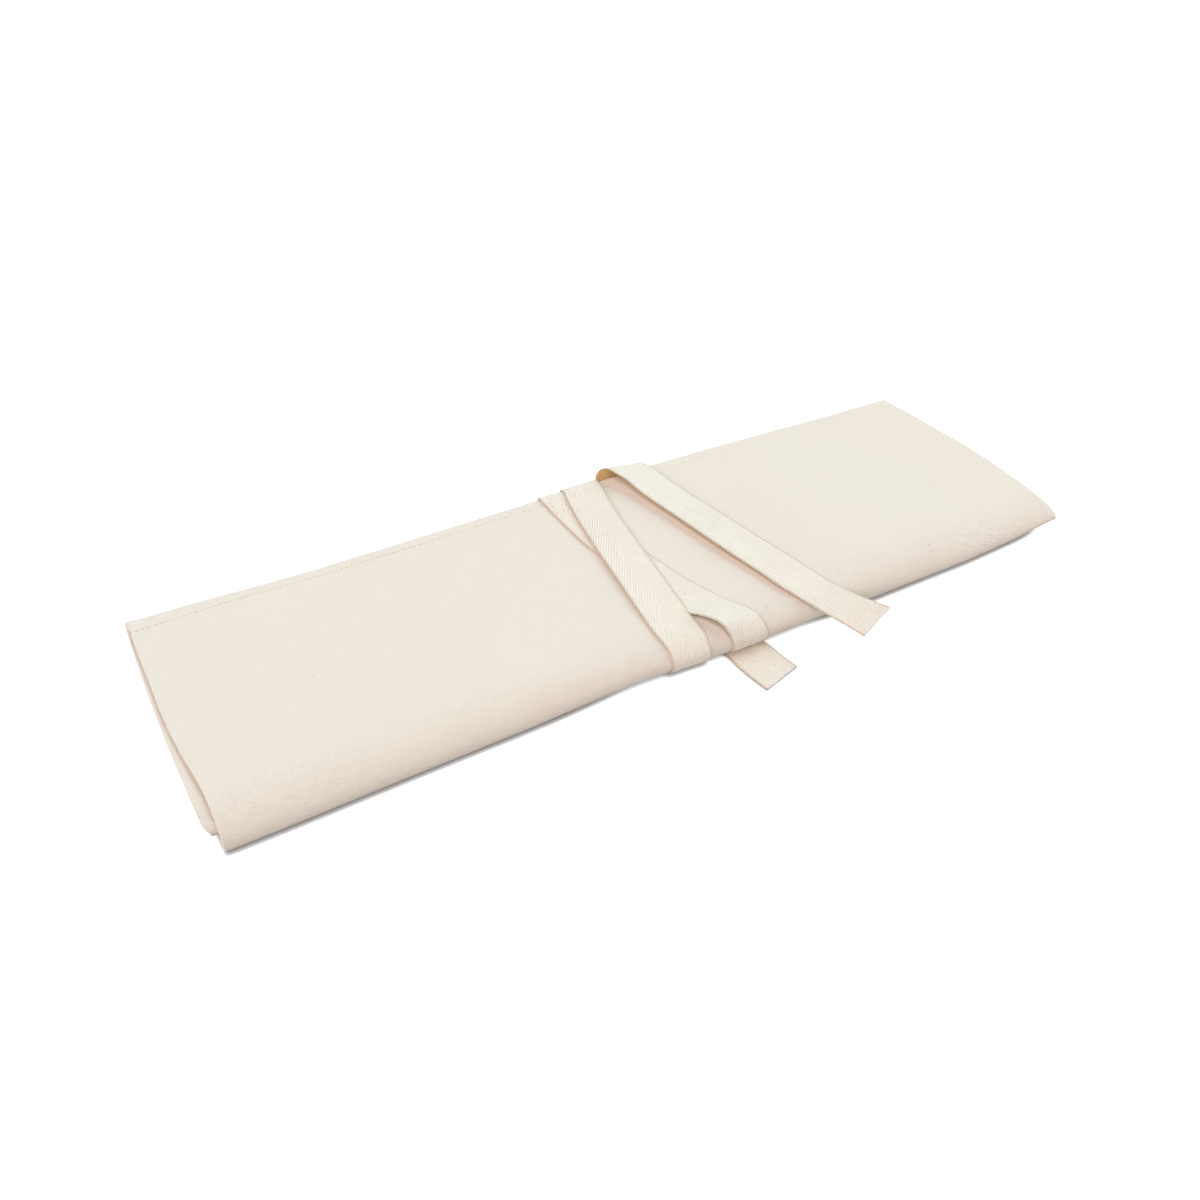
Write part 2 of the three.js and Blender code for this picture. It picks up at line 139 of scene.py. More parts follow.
@dataclass(frozen=True)
class RollShape:
    """Sizes and rules of the folded canvas, in millimetres. X runs along the roll, -Y to its front fold."""

    canvas: float = 0.75
    layer_gap: float = 0.45
    wrap_left: End = End(-311.9, -303.0, -1.2)
    wrap_right: End = End(311.0, 312.2, 5.2)
    bundle_left: End = End(-314.9, -309.6, -1.8)
    bundle_right: End = End(306.0, 308.0, 2.0)
    pocket_setback: float = 1.0
    core_inset: float = 3.2
    hem: float = 98.8
    hem_left_flare: float = 5.2
    hem_right_draw: float = 6.6
    hem_width: float = 10.0
    side_hem_width: float = 9.0
    back_overhang: float = 1.5
    back_fold_depth: float = 5.5
    front_edge: float = -105.5
    front_fold_depth: float = 7.5
    front_fold_depth_free: float = 5.0
    front_draw_free: float = 1.6
    front_draw_left: float = 1.6
    front_draw_tip: float = 3.0
    shoulder_free: float = 28.0
    shoulder_under_tape: float = 15.0
    nose_share: float = 0.46
    nose_share_free: float = 0.3
    waist_depth: float = 4.4
    core_setback: float = 8.0
    inner_fold_setback: float = 14.0
    inner_fold_depth: float = 7.0
    tape_bend_start: float = 11.0
    back_height: float = 12.3
    back_right_drop: float = 1.6
    front_height: float = 20.6
    front_right_drop: float = 6.4
    tape_press: float = 1.0
    tip_lift: float = 4.4
    strip_lift: float = 1.2
    under_lift: float = 2.65
    pocket_share: float = 0.55
    bundle_share: float = 0.3
    layers_between: int = 6
    tape_from: Span = (-125, -38)
    tape_to: Span = (76, 142)
    flare_over: Span = (170, 305)
    hem_draw_over: Span = (60, 310)
    waist_from: Span = (-290, -60)
    waist_to: Span = (-60, 45)
    front_left_over: Span = (100, 230)
    front_tip_over: Span = (215, 300)
    tip_lift_over: Span = (270, 316)
    tip_lift_front: Span = (0.6, 1)
    back_drop_over: Span = (120, 310)
    front_drop_over: Span = (120, 330)
    calm_over: Span = (4, 40)
    strip_beside_edge: Span = (-2.5, 0.4)
    strip_from_hem: Span = (11, 20)
    broad_wave: float = 0.16
    broad_lengths: tuple[float, float, float] = (41, 33, 37)
    broad_sway: float = 0.6
    broad_start: float = 0.8
    fine_wave: float = 0.07
    fine_lengths: tuple[float, float, float, float] = (17, 23, 13, 61)
    hollow_depth: float = 0.42
    hollow_width: float = 5.5
    hollow_behind: float = 62.0
    hollow_slope: float = 0.05
    hollow_middle: float = 220.0
    hollow_from: Span = (-268, -232)
    hollow_to: Span = (-150, -95)

    def tape_zone(self, x: Array) -> Array:
        """How strongly the tape's windings act at places along the roll, from 0 to 1."""
        return ease(x, *self.tape_from) * (1 - ease(x, *self.tape_to))

    def hem_y(self, x: Array) -> Array:
        """Free hem of the flap."""
        flare = self.hem_left_flare * ease(-x, *self.flare_over)
        return self.hem + flare - self.hem_right_draw * ease(x, *self.hem_draw_over)

    def back_fold_y(self, x: Array) -> Array:
        """Line where the base turns up into the back fold."""
        return self.hem_y(x) + self.back_overhang - self.back_fold_depth

    def front_edge_y(self, x: Array) -> Array:
        """Foremost line of the front fold, drawn in by the tape and at both ends.

        Args:
            x: Places along the roll.

        Returns:
            Y of the line.
        """
        waist = self.waist_depth * ease(x, *self.waist_from) * (1 - ease(x, *self.waist_to))
        free = self.front_draw_free * (1 - self.tape_zone(x))
        left = self.front_draw_left * ease(-x, *self.front_left_over)
        tip = self.front_draw_tip * ease(x, *self.front_tip_over)
        return self.front_edge + waist + free + (left + tip)

    def fold_depth(self, x: Array) -> Array:
        """How far the tight lower bend of the front fold stands out."""
        return mix(self.front_fold_depth_free, self.front_fold_depth, self.tape_zone(x))

    def front_fold_y(self, x: Array) -> Array:
        """Line where the base turns up into the front fold."""
        return self.front_edge_y(x) + self.fold_depth(x)

    def inner_fold_y(self, x: Array) -> Array:
        """Line where the bundle inside the wrap has its own fold."""
        return self.front_edge_y(x) + self.inner_fold_setback

    def shoulder(self, x: Array) -> Array:
        """How far behind the front edge the flap starts to turn down."""
        return mix(self.shoulder_free, self.shoulder_under_tape, self.tape_zone(x))

    def shoulder_y(self, x: Array) -> Array:
        """Line where the flap starts to turn down."""
        return self.front_edge_y(x) + self.shoulder(x)

    def underside(self, x: Array, y: Array) -> Array:
        """Underside of the base, lifted off the surface by the tape and at the right tip.

        Args:
            x: Places along the roll.
            y: Places from front to back.

        Returns:
            Heights.
        """
        front = (self.hem_y(x) - y) / (self.hem_y(x) - self.front_fold_y(x))
        tip = self.tip_lift * ease(x, *self.tip_lift_over) * ease(front, *self.tip_lift_front)
        return self.under_lift * self.tape_zone(x) + tip

    def ripple(self, x: Array, y: Array) -> Array:
        """Slight waves of the flap, and the faint hollow along it behind its left shoulder.

        Args:
            x: Places along the roll.
            y: Places from front to back.

        Returns:
            Heights to add to the flap's.
        """
        along, sway, down = self.broad_lengths
        broad = self.broad_wave * np.sin(x / along + self.broad_sway * np.sin(y / sway))
        broad = broad * np.sin(y / down + self.broad_start)
        x_one, y_one, y_two, x_two = self.fine_lengths
        fine = self.fine_wave * np.sin(x / x_one - y / y_one) * np.sin(y / y_two + x / x_two)
        line = y + self.hollow_behind + self.hollow_slope * (x + self.hollow_middle)
        hollow = -self.hollow_depth * np.exp(-((line / self.hollow_width) ** 2))
        hollow = hollow * ease(x, *self.hollow_from) * (1 - ease(x, *self.hollow_to))
        return broad + fine + hollow

    def crown(self, x: Array, y: Array) -> Array:
        """Top of the flap behind its shoulder.

        Args:
            x: Places along the roll.
            y: Places from front to back.

        Returns:
            Heights.
        """
        back = self.back_height - self.back_right_drop * ease(x, *self.back_drop_over)
        front = self.front_height - self.tape_press * self.tape_zone(x)
        front = front - self.front_right_drop * ease(x, *self.front_drop_over)
        share = np.clip((self.hem_y(x) - y) / (self.hem_y(x) - self.shoulder_y(x)), 0, 1)
        return mix(back, front, np.sin(share * math.pi / 2))

    def nose(self, x: Array) -> Array:
        """Height of the front fold's foremost line.

        Args:
            x: Places along the roll.

        Returns:
            Heights.
        """
        low = self.underside(x, self.front_fold_y(x))
        share = mix(self.nose_share_free, self.nose_share, self.tape_zone(x))
        return mix(low, self.crown(x, self.shoulder_y(x)), share)

    def bare_top(self, x: Array, y: Array) -> Array:
        """Top of the flap and of its bend down to the front edge, without its waves."""
        past = np.clip((self.shoulder_y(x) - y) / self.shoulder(x), 0, 1)
        return mix(self.nose(x), self.crown(x, y), np.sqrt(1 - past * past))

    def topside(self, x: Array, y: Array) -> Array:
        """Top of the flap with its waves."""
        return self.bare_top(x, y) + self.calmed_ripple(x, y)

    def calmed_ripple(self, x: Array, y: Array) -> Array:
        """Waves of the flap, which die out on its bend."""
        start, stop = self.calm_over
        return self.ripple(x, y) * ease(y, self.front_edge + start, self.front_edge + stop)

    def layers(self, x: Array, y: Array) -> dict[str, Array]:
        """Undersides of the stacked layers.

        Args:
            x: Places along the roll.
            y: Places from front to back.

        Returns:
            Heights by layer name, from the base up.
        """
        step = self.canvas + self.layer_gap
        base = self.underside(x, y)
        flap = self.bare_top(x, y) - self.canvas
        spare = flap - base - self.layers_between * step - self.canvas - self.layer_gap
        pocket_base = base + step + self.pocket_share * spare
        core = pocket_base + step
        pocket_core = core + step
        pocket_inner = pocket_core + step + self.bundle_share * spare
        inner = pocket_inner + step + (1 - self.pocket_share - self.bundle_share) * spare
        return {"pocket_base": pocket_base, "core": core, "pocket_core": pocket_core,
                "pocket_inner": pocket_inner, "inner": inner}

    def end_x(self, end: End, y: Array) -> Array:
        """X of an end of the stack.

        Args:
            end: Which end.
            y: Places from front to back.

        Returns:
            X at those places.
        """
        back, front = self.hem_y(0.0), self.front_fold_y(0.0)
        place = np.clip((back - y) / (back - front), 0, 1)
        return mix(end.back, end.front, place) + end.bow * np.sin(place * math.pi)

    def flap_edge_x(self, y: Array, right: bool) -> Array:
        """X of the flap's left or right edge, with the waves that its cloth has along it.

        Args:
            y: Places from front to back.
            right: True for the right edge.

        Returns:
            X at those places.
        """
        place = np.clip((self.hem - y) / (self.hem - self.front_edge), 0, 1)
        waves = RIGHT_WAVES if right else LEFT_WAVES
        return self.end_x(self.wrap_right if right else self.wrap_left, y) + keyed(waves, 1, place)

    def strip_rise(self, x: Array, y: Array) -> Array:
        """How far the bundle springs up where it shows past the flap's left edge.

        Args:
            x: Places along the roll.
            y: Places from front to back.

        Returns:
            Heights to add to the inner panel's.
        """
        past = self.flap_edge_x(y, False) - x
        beside = self.strip_lift * ease(past, *self.strip_beside_edge)
        return beside * ease(self.hem - y, *self.strip_from_hem)

    def fold_start(self, x: Array) -> Array:
        """Turn of the front fold's wide bend where a tape on it leaves the roll's top."""
        return np.arccos(1 - self.tape_bend_start / self.shoulder(x))

    def front_bend(self, x: Array, turn: Array, lift: Array | float = 0.0) -> tuple[Array, Array]:
        """The front fold: a wide bend from the flap to the nose, then a tight one to the base.

        Args:
            x: Places along the roll.
            turn: Turn in radians, a quarter turn at the flap and minus a quarter at the base.
            lift: Distance off the canvas.

        Returns:
            Y and Z.
        """
        upper = turn > 0
        top = self.crown(x, self.shoulder_y(x)) - self.nose(x)
        low = self.nose(x) - self.underside(x, self.front_fold_y(x))
        reach = np.where(upper, self.shoulder(x), self.fold_depth(x))
        rise = np.where(upper, top, low)
        quarter = np.where(upper, np.minimum(1, turn / self.fold_start(x)), turn / (math.pi / 2))
        bend = quarter * math.pi / 2
        y = self.front_edge_y(x) + reach * (1 - np.cos(turn))
        z = self.nose(x) + rise * np.sin(turn)
        waves = np.where(upper, self.calmed_ripple(x, y), 0)
        return y - lift * np.cos(bend), z + waves + lift * np.sin(bend)

    def outline(self, x: Array, turn: Array, lift: Array) -> tuple[Array, Array]:
        """Place round the closed roll, for the tape.

        Args:
            x: Places along the roll.
            turn: 0 to 1 over the top to the front, 1 to 2 round the front fold, 2 to 3 under,
                3 to 4 up behind.
            lift: Distance off the canvas.

        Returns:
            Y and Z.
        """
        lap = np.mod(turn, LAP)
        leg = np.floor(lap)
        t = lap - leg
        back = self.back_fold_y(x)
        top_y = mix(back, self.front_edge_y(x) + self.tape_bend_start, t)
        bend = np.where(t < 0.5, self.fold_start(x), math.pi / 2) * (1 - 2 * t)
        bend_y, bend_z = self.front_bend(x, bend, lift)
        under_y = mix(self.front_fold_y(x), back, t)
        angle = math.pi * (t - 0.5)
        low, high = self.underside(x, back), self.topside(x, back)
        behind_y = back + (self.back_fold_depth + lift) * np.sqrt(np.abs(np.cos(angle)))
        square = np.sign(angle) * np.sqrt(np.abs(np.sin(angle)))
        behind_z = (high + low) / 2 + ((high - low) / 2 + lift) * square
        legs = [leg == 0, leg == 1, leg == 2]
        y = np.select(legs, [top_y, bend_y, under_y], behind_y)
        over, under = self.topside(x, top_y) + lift, self.underside(x, under_y) - lift
        z = np.select(legs, [over, bend_z, under], behind_z)
        return y, z


class Motion(Enum):
    """How a piece moves when the flap is lifted."""

    ROLL = "roll"
    FLAP = "flap"
    FRONT_FOLD = "front fold"


CLOSE_ROW = 0.4


def set_moving(piece: bpy.types.Object, motion: Motion) -> None:
    """Tie a finished piece to the body that it moves with, or bake a piece of the front fold in place.

    Args:
        piece: The finished piece.
        motion: How it moves.
    """
    if motion is Motion.FRONT_FOLD:
        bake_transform(piece)
    else:
        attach(piece, motion.value)
    LOG.info("%s moves with the %s", piece.name, motion.value)


def spaced(count: int, margin: float) -> Array:
    """Shares from 0 to 1 with two close rows at each end, for a soft rim.

    Args:
        count: Number of even places in between.
        margin: Share of the length that the close rows take at each end.

    Returns:
        Rising shares.
    """
    middle = np.linspace(margin, 1 - margin, count)
    close = margin * CLOSE_ROW
    return np.concatenate([[0, close], middle, [1 - close, 1]])


def outward(face: Array) -> Array:
    """Outward normals of a grid whose first axis runs along X and second along the cloth's path."""
    return unit(np.cross(np.gradient(face, axis=1), np.gradient(face, axis=0)))


@dataclass
class Cloth:
    """A closed sheet of cloth made from the grid of its outer face, in millimetres."""

    name: str
    face: Array
    depth: Array
    uv: Array
    square_ends: tuple[bool, bool] = (False, False)
    # How strongly the tape finish paints warm shade on the inner face.
    shaded_inside: float = 0.0
    bulge: float = 0.42

    def build(self, material: bpy.types.Material) -> bpy.types.Object:
        """Make the object.

        Args:
            material: Finish of the whole sheet.

        Returns:
            The object, at the origin, with its UV map in metres.
        """
        columns, rows = self.face.shape[:2]
        normal = outward(self.face)
        inner = self.face - normal * self.depth[..., None]
        rim = self._rim(columns, rows)
        away = self._away(normal)
        at_rim = (rim[:, 0], rim[:, 1])
        middle = (self.face + inner)[at_rim] / 2
        middle = middle + away[at_rim] * self.depth[at_rim][:, None] * self.bulge
        points = np.concatenate([self.face.reshape(-1, 3), inner.reshape(-1, 3), middle]) * MM
        half = columns * rows
        index = np.arange(half).reshape(columns, rows)
        corners = [index[:-1, :-1], index[:-1, 1:], index[1:, 1:], index[1:, :-1]]
        quads = np.stack(corners, -1).reshape(-1, 4)
        around = index[at_rim]
        ring = 2 * half + np.arange(len(rim))
        next_around, next_ring = np.roll(around, -1), np.roll(ring, -1)
        upper = np.stack([around, ring, next_ring, next_around], -1)
        lower = np.stack([ring, around + half, next_around + half, next_ring], -1)
        faces = np.concatenate([quads, quads[:, ::-1] + half, upper, lower])
        flat = self.uv.reshape(-1, 2)
        uv = np.concatenate([flat, flat, flat[around]])
        mesh = bpy.data.meshes.new(self.name)
        mesh.from_pydata(points.tolist(), [], faces.tolist())
        layer = mesh.uv_layers.new(name="UVMap")
        corner = np.empty(len(mesh.loops), np.int32)
        mesh.loops.foreach_get("vertex_index", corner)
        layer.data.foreach_set("uv", uv[corner].astype(np.float32).ravel())
        # The tape finish paints warm shade where this mark is set, on the loop's inner face.
        inside = mesh.attributes.new("inside", "FLOAT", "POINT")
        marks = np.repeat([0.0, self.shaded_inside, 0.0], [half, half, len(rim)])
        inside.data.foreach_set("value", marks.astype(np.float32))
        mesh.shade_smooth()
        self._crease_square_ends(mesh, columns, rows)
        mesh.materials.append(material)
        piece = bpy.data.objects.new(self.name, mesh)
        bpy.context.scene.collection.objects.link(piece)
        return piece

    def _rim(self, columns: int, rows: int) -> Array:
        """Grid places round the edge of the sheet, in order.

        Args:
            columns: Number of columns of the grid.
            rows: Number of its rows.

        Returns:
            Column and row of each place.
        """
        i, j = np.arange(columns), np.arange(rows)
        left = np.stack([np.zeros(rows - 1, int), j[:-1]], -1)
        far = np.stack([i[:-1], np.full(columns - 1, rows - 1)], -1)
        right = np.stack([np.full(rows - 1, columns - 1), j[:0:-1]], -1)
        near = np.stack([i[:0:-1], np.zeros(columns - 1, int)], -1)
        return np.concatenate([left, far, right, near])

    def _away(self, normal: Array) -> Array:
        """Directions that point off the sheet's edges, for its rounded rim.

        Args:
            normal: Outward normals of the face.

        Returns:
            A direction for each grid point, of length zero away from the edges.
        """
        across = unit(np.gradient(self.face, axis=0))
        along = unit(np.gradient(self.face, axis=1))
        away = np.zeros_like(normal)
        away[0] -= across[0]
        away[-1] += across[-1]
        if not self.square_ends[0]:
            away[:, 0] -= along[:, 0]
        if not self.square_ends[1]:
            away[:, -1] += along[:, -1]
        return away

    def _crease_square_ends(self, mesh: bpy.types.Mesh, columns: int, rows: int) -> None:
        """Keep the edges of a square cut end sharp, so that two stretches of one tape meet unseen.

        Args:
            mesh: Mesh of the sheet.
            columns: Number of columns of its grid.
            rows: Number of its rows.
        """
        ends = set()
        for row, square in zip((0, rows - 1), self.square_ends):
            if square:
                ends |= {int(c * rows + row) for c in range(columns)}
        if not ends:
            return
        both = ends | {e + columns * rows for e in ends}
        sharp = mesh.attributes.new("sharp_edge", "BOOLEAN", "EDGE")
        pairs = np.empty(len(mesh.edges) * 2, np.int32)
        mesh.edges.foreach_get("vertices", pairs)
        pairs = pairs.reshape(-1, 2)
        marks = np.isin(pairs, list(both)).all(axis=1)
        sharp.data.foreach_set("value", marks)


class NodeBoard:
    """Places nodes in one tree and joins them."""

    def __init__(self, tree: bpy.types.NodeTree) -> None:
        """Keep the tree to work on."""
        self.tree = tree

    def put(self, kind: str, inputs: dict | None = None, **settings: object) -> bpy.types.Node:
        """Add a node.

        Args:
            kind: Type of the node.
            inputs: Values or sockets for its inputs, by name or number.
            settings: Its own properties.

        Returns:
            The node.
        """
        node = self.tree.nodes.new(kind)
        for key, value in settings.items():
            setattr(node, key, value)
        for key, value in (inputs or {}).items():
            if isinstance(value, bpy.types.NodeSocket):
                self.tree.links.new(value, node.inputs[key])
            else:
                node.inputs[key].default_value = value
        return node

    def sum(self, operation: str, a: object, b: object = 0.0, c: object = 0.0) -> bpy.types.NodeSocket:
        """Put out the result of one Math node."""
        return self.put("ShaderNodeMath", {0: a, 1: b, 2: c}, operation=operation).outputs[0]

    def fit(self, value: object, low: float, high: float, start: float = 0.0,
            stop: float = 1.0) -> bpy.types.NodeSocket:
        """Put out a value moved from one range to another, held at its ends."""
        node = self.put("ShaderNodeMapRange", {0: value, 1: low, 2: high, 3: start, 4: stop})
        return node.outputs[0]

    def tint(self, share: object, a: object, b: object) -> bpy.types.NodeSocket:
        """Put out a colour part of the way from a to b."""
        node = self.put("ShaderNodeMix", {0: share, 6: a, 7: b}, data_type="RGBA")
        return node.outputs[2]

    def parts(self, vector: object) -> tuple[bpy.types.NodeSocket, ...]:
        """Put out the three parts of a vector."""
        return tuple(self.put("ShaderNodeSeparateXYZ", {0: vector}).outputs)


def shader_group(name: str, inputs: list[tuple[str, str, float | None]],
                 outputs: list[str]) -> tuple[bpy.types.NodeTree, NodeBoard, bpy.types.Node, bpy.types.Node]:
    """Start a shader node group.

    Args:
        name: Name of the group.
        inputs: Name, socket type and first value of each input.
        outputs: Names of its value outputs.

    Returns:
        The tree, its board, its input node and its output node.
    """
    tree = bpy.data.node_groups.new(name, "ShaderNodeTree")
    for label, kind, value in inputs:
        socket = tree.interface.new_socket(label, in_out="INPUT", socket_type=kind)
        if value is not None:
            socket.default_value = value
    for label in outputs:
        tree.interface.new_socket(label, in_out="OUTPUT", socket_type="NodeSocketFloat")
    board = NodeBoard(tree)
    return tree, board, board.put("NodeGroupInput"), board.put("NodeGroupOutput")


def join_outputs(tree: bpy.types.NodeTree, node: bpy.types.Node, values: dict[str, object]) -> None:
    """Join results to a group's outputs."""
    for label, socket in values.items():
        tree.links.new(socket, node.inputs[label])


def plain_weave_group() -> bpy.types.NodeTree:
    """Warp and weft that pass over and under each other.

    Returns:
        Group with Place and Pitch in, Height and Gap out.
    """
    tree, b, given, result = shader_group(
        "plain weave", [("Place", "NodeSocketVector", None), ("Pitch", "NodeSocketFloat", 0.0008)],
        ["Height", "Gap"])
    dip, level, gap_range = 0.4, 0.6, (0.5, 0.1)
    x, y, _ = b.parts(given.outputs["Place"])
    turn_x = b.sum("MULTIPLY", b.sum("DIVIDE", x, given.outputs["Pitch"]), math.pi)
    turn_y = b.sum("MULTIPLY", b.sum("DIVIDE", y, given.outputs["Pitch"]), math.pi)
    sin_x, sin_y = b.sum("SINE", turn_x), b.sum("SINE", turn_y)
    warp_over = b.sum("MULTIPLY", b.sum("SIGN", sin_x), sin_y)
    weft_over = b.sum("MULTIPLY", b.sum("SIGN", sin_y), sin_x)
    warp = b.sum("MULTIPLY", b.sum("ABSOLUTE", sin_x), b.sum("MULTIPLY_ADD", warp_over, dip, level))
    weft = b.sum("MULTIPLY", b.sum("ABSOLUTE", sin_y), b.sum("MULTIPLY_ADD", weft_over, -dip, level))
    height = b.sum("MAXIMUM", warp, weft)
    join_outputs(tree, result, {"Height": height, "Gap": b.fit(height, *gap_range)})
    return tree


def cotton_group() -> bpy.types.NodeTree:
    """What undyed cotton shows: thick and thin yarns, soft unevenness and seed flecks.

    Returns:
        Group with Place, Weave, Fleck cell and Fleck share in, and Slub, Mottle and Fleck out.
    """
    tree, b, given, result = shader_group(
        "undyed cotton",
        [("Place", "NodeSocketVector", None), ("Weave", "NodeSocketVector", None),
         ("Fleck cell", "NodeSocketFloat", 90.0), ("Fleck share", "NodeSocketFloat", 0.3)],
        ["Slub", "Mottle", "Fleck"])
    yarns = []
    yarn_along, yarn_across = 60.0, 900.0
    slub_range, mottle_scale, speck_range = (0.7, 1.3), 26.0, (0.055, 0.02)
    for stretch in ((yarn_along, yarn_across, 1.0), (yarn_across, yarn_along, 1.0)):
        place = b.put("ShaderNodeMapping", {"Vector": given.outputs["Weave"], "Scale": stretch}).outputs[0]
        noise = b.put("ShaderNodeTexNoise", {"Vector": place, "Scale": 1.0, "Detail": 2.0})
        yarns.append(noise.outputs[0])
    slub = b.fit(b.sum("ADD", *yarns), *slub_range)
    mottle = b.put("ShaderNodeTexNoise",
                   {"Vector": given.outputs["Place"], "Scale": mottle_scale, "Detail": 3.0}).outputs[0]
    cells = b.put("ShaderNodeTexVoronoi", {"Vector": given.outputs["Place"],
                                           "Scale": given.outputs["Fleck cell"], "Randomness": 1.0})
    chance = b.parts(cells.outputs["Color"])[0]
    chosen = b.sum("LESS_THAN", chance, given.outputs["Fleck share"])
    speck = b.fit(cells.outputs["Distance"], *speck_range)
    fleck = b.sum("MULTIPLY", chosen, speck)
    join_outputs(tree, result, {"Slub": slub, "Mottle": mottle, "Fleck": fleck})
    return tree


def herringbone_group() -> bpy.types.NodeTree:
    """Ribs of a herringbone tape, which turn along its middle, and a thin band along each edge that is
    painted darker as shade.

    Returns:
        Group with Place, Pitch and Spine in, and Height, Gap and a mask of painted edge shade out.
    """
    tree, b, given, result = shader_group(
        "herringbone",
        [("Place", "NodeSocketVector", None), ("Pitch", "NodeSocketFloat", 0.0021),
         ("Spine", "NodeSocketFloat", 0.015)],
        ["Height", "Gap", "Edge shade"])
    steepness, yarn_turns, yarn_share = -2.4, 12 * math.pi, 0.18
    # The first span is a thin band along each edge of the tape. The tape finish paints it darker as shade, in
    # place of the thin shadow where the tape lies on the cloth.
    edge_shade_span, height_range, gap_range = (0.0132, 0.0147), (-1.1, 1.1), (-0.2, -1.0)
    across, along, _ = b.parts(given.outputs["Place"])
    off = b.sum("ABSOLUTE", b.sum("SUBTRACT", across, given.outputs["Spine"]))
    rib = b.sum("DIVIDE", b.sum("MULTIPLY_ADD", off, steepness, along), given.outputs["Pitch"])
    wave = b.sum("SINE", b.sum("MULTIPLY", rib, 2 * math.pi))
    yarn = b.sum("SINE", b.sum("MULTIPLY", b.sum("DIVIDE", across, given.outputs["Pitch"]), yarn_turns))
    height = b.sum("MULTIPLY_ADD", yarn, yarn_share, wave)
    join_outputs(tree, result, {"Height": b.fit(height, *height_range), "Gap": b.fit(wave, *gap_range),
                                "Edge shade": b.fit(off, *edge_shade_span)})
    return tree


Colour = tuple[float, float, float, float]
CLOTH_GLOSS = 0.15
SHEEN_ROUGHNESS = 0.5


def from_screen(red: int, green: int, blue: int) -> Colour:
    """Scene colour of a screen colour."""
    linear = [((c / 255 + 0.055) / 1.055) ** 2.4 if c > 10 else c / 255 / 12.92 for c in (red, green, blue)]
    return (*linear, 1.0)


class Groups:
    """The node groups that the finishes share."""

    def __init__(self) -> None:
        """Build each group once."""
        self.weave = plain_weave_group()
        self.cotton = cotton_group()
        self.herringbone = herringbone_group()


def start_material(name: str, roughness: float,
                   sheen: float) -> tuple[bpy.types.Material, NodeBoard, bpy.types.Node]:
    """Start a cloth material.

    Args:
        name: Name of the material.
        roughness: Its roughness.
        sheen: Its sheen weight.

    Returns:
        The material, its board and its shader.
    """
    material = bpy.data.materials.new(name)
    material.use_nodes = True
    board = NodeBoard(material.node_tree)
    shader = material.node_tree.nodes["Principled BSDF"]
    shader.inputs["Roughness"].default_value = roughness
    shader.inputs["Specular IOR Level"].default_value = CLOTH_GLOSS
    shader.inputs["Sheen Weight"].default_value = sheen
    shader.inputs["Sheen Roughness"].default_value = SHEEN_ROUGHNESS
    return material, board, shader


@dataclass(frozen=True)
class CottonFinish:
    """What every cloth of undyed cotton has: its flecks and its uneven yarns."""

    fleck_share: float = 0.1
    fleck_strength: float = 0.6
    mottle_share: float = 0.3
    slub_share: float = 0.2

    def marks(self, b: NodeBoard, groups: Groups, place: bpy.types.Node) -> tuple[bpy.types.NodeSocket, ...]:
        """Put out the marks of the cotton.

        Args:
            b: Board of the material's tree.
            groups: Shared node groups.
            place: Node that gives places on the cloth.

        Returns:
            Unevenness, share of fleck, and thick and thin yarns.
        """
        given = {"Place": place.outputs["Object"], "Weave": place.outputs["UV"],
                 "Fleck share": self.fleck_share}
        cotton = b.put("ShaderNodeGroup", given, node_tree=groups.cotton)
        slub = b.sum("MULTIPLY", cotton.outputs["Slub"], self.slub_share)
        uneven = b.sum("MULTIPLY_ADD", cotton.outputs["Mottle"], self.mottle_share, slub)
        fleck = b.sum("MULTIPLY", cotton.outputs["Fleck"], self.fleck_strength)
        return uneven, fleck, cotton.outputs["Slub"]


@dataclass(frozen=True)
class CanvasFinish(CottonFinish):
    """Undyed cotton canvas in a plain weave."""

    name: str = "canvas"
    colour: Colour = from_screen(238, 233, 222)
    shade: Colour = from_screen(224, 211, 196)
    fleck: Colour = from_screen(152, 124, 92)
    pitch: float = 0.0008
    relief: float = 0.00024
    fleck_share: float = 0.12
    fleck_strength: float = 0.85
    mottle_share: float = 0.2
    evenness: float = 0.15
    gap_share: float = 0.38
    slub_height: float = 0.6
    bump: float = 0.5
    roughness: float = 0.92
    sheen: float = 0.08
    # Weight toward the front fold: the weave gaps are painted darker there, which is real grain with painted
    # shade on the fold.
    front_fold_span: Span = (-0.066, -0.094)
    front_fold_weights: Span = (0.25, 1.7)

    def make(self, groups: Groups) -> bpy.types.Material:
        """Build the material.

        Args:
            groups: Shared node groups.

        Returns:
            The material.
        """
        material, b, shader = start_material(self.name, self.roughness, self.sheen)
        place = b.put("ShaderNodeTexCoord")
        given = {"Place": place.outputs["UV"], "Pitch": self.pitch}
        weave = b.put("ShaderNodeGroup", given, node_tree=groups.weave)
        uneven, fleck, slub = self.marks(b, groups, place)
        # Weight that rises toward the front fold. It darkens the weave gaps there, which is real grain plus
        # painted shade on the fold, and it raises the weave's bump.
        front_fold_weight = b.fit(b.parts(place.outputs["Object"])[1], *self.front_fold_span, *self.front_fold_weights)
        gap = b.sum("MULTIPLY", weave.outputs["Gap"], front_fold_weight)
        dark = b.sum("MULTIPLY_ADD", gap, self.gap_share, b.sum("SUBTRACT", uneven, self.evenness))
        cloth = b.tint(b.fit(dark, 0.0, 1.0), self.colour, self.shade)
        b.tree.links.new(b.tint(fleck, cloth, self.fleck), shader.inputs["Base Color"])
        height = b.sum("MULTIPLY_ADD", slub, self.slub_height, weave.outputs["Height"])
        height = b.sum("MULTIPLY", height, front_fold_weight)
        bump = b.put("ShaderNodeBump", {"Height": height, "Strength": self.bump, "Distance": self.relief})
        b.tree.links.new(bump.outputs[0], shader.inputs["Normal"])
        return material


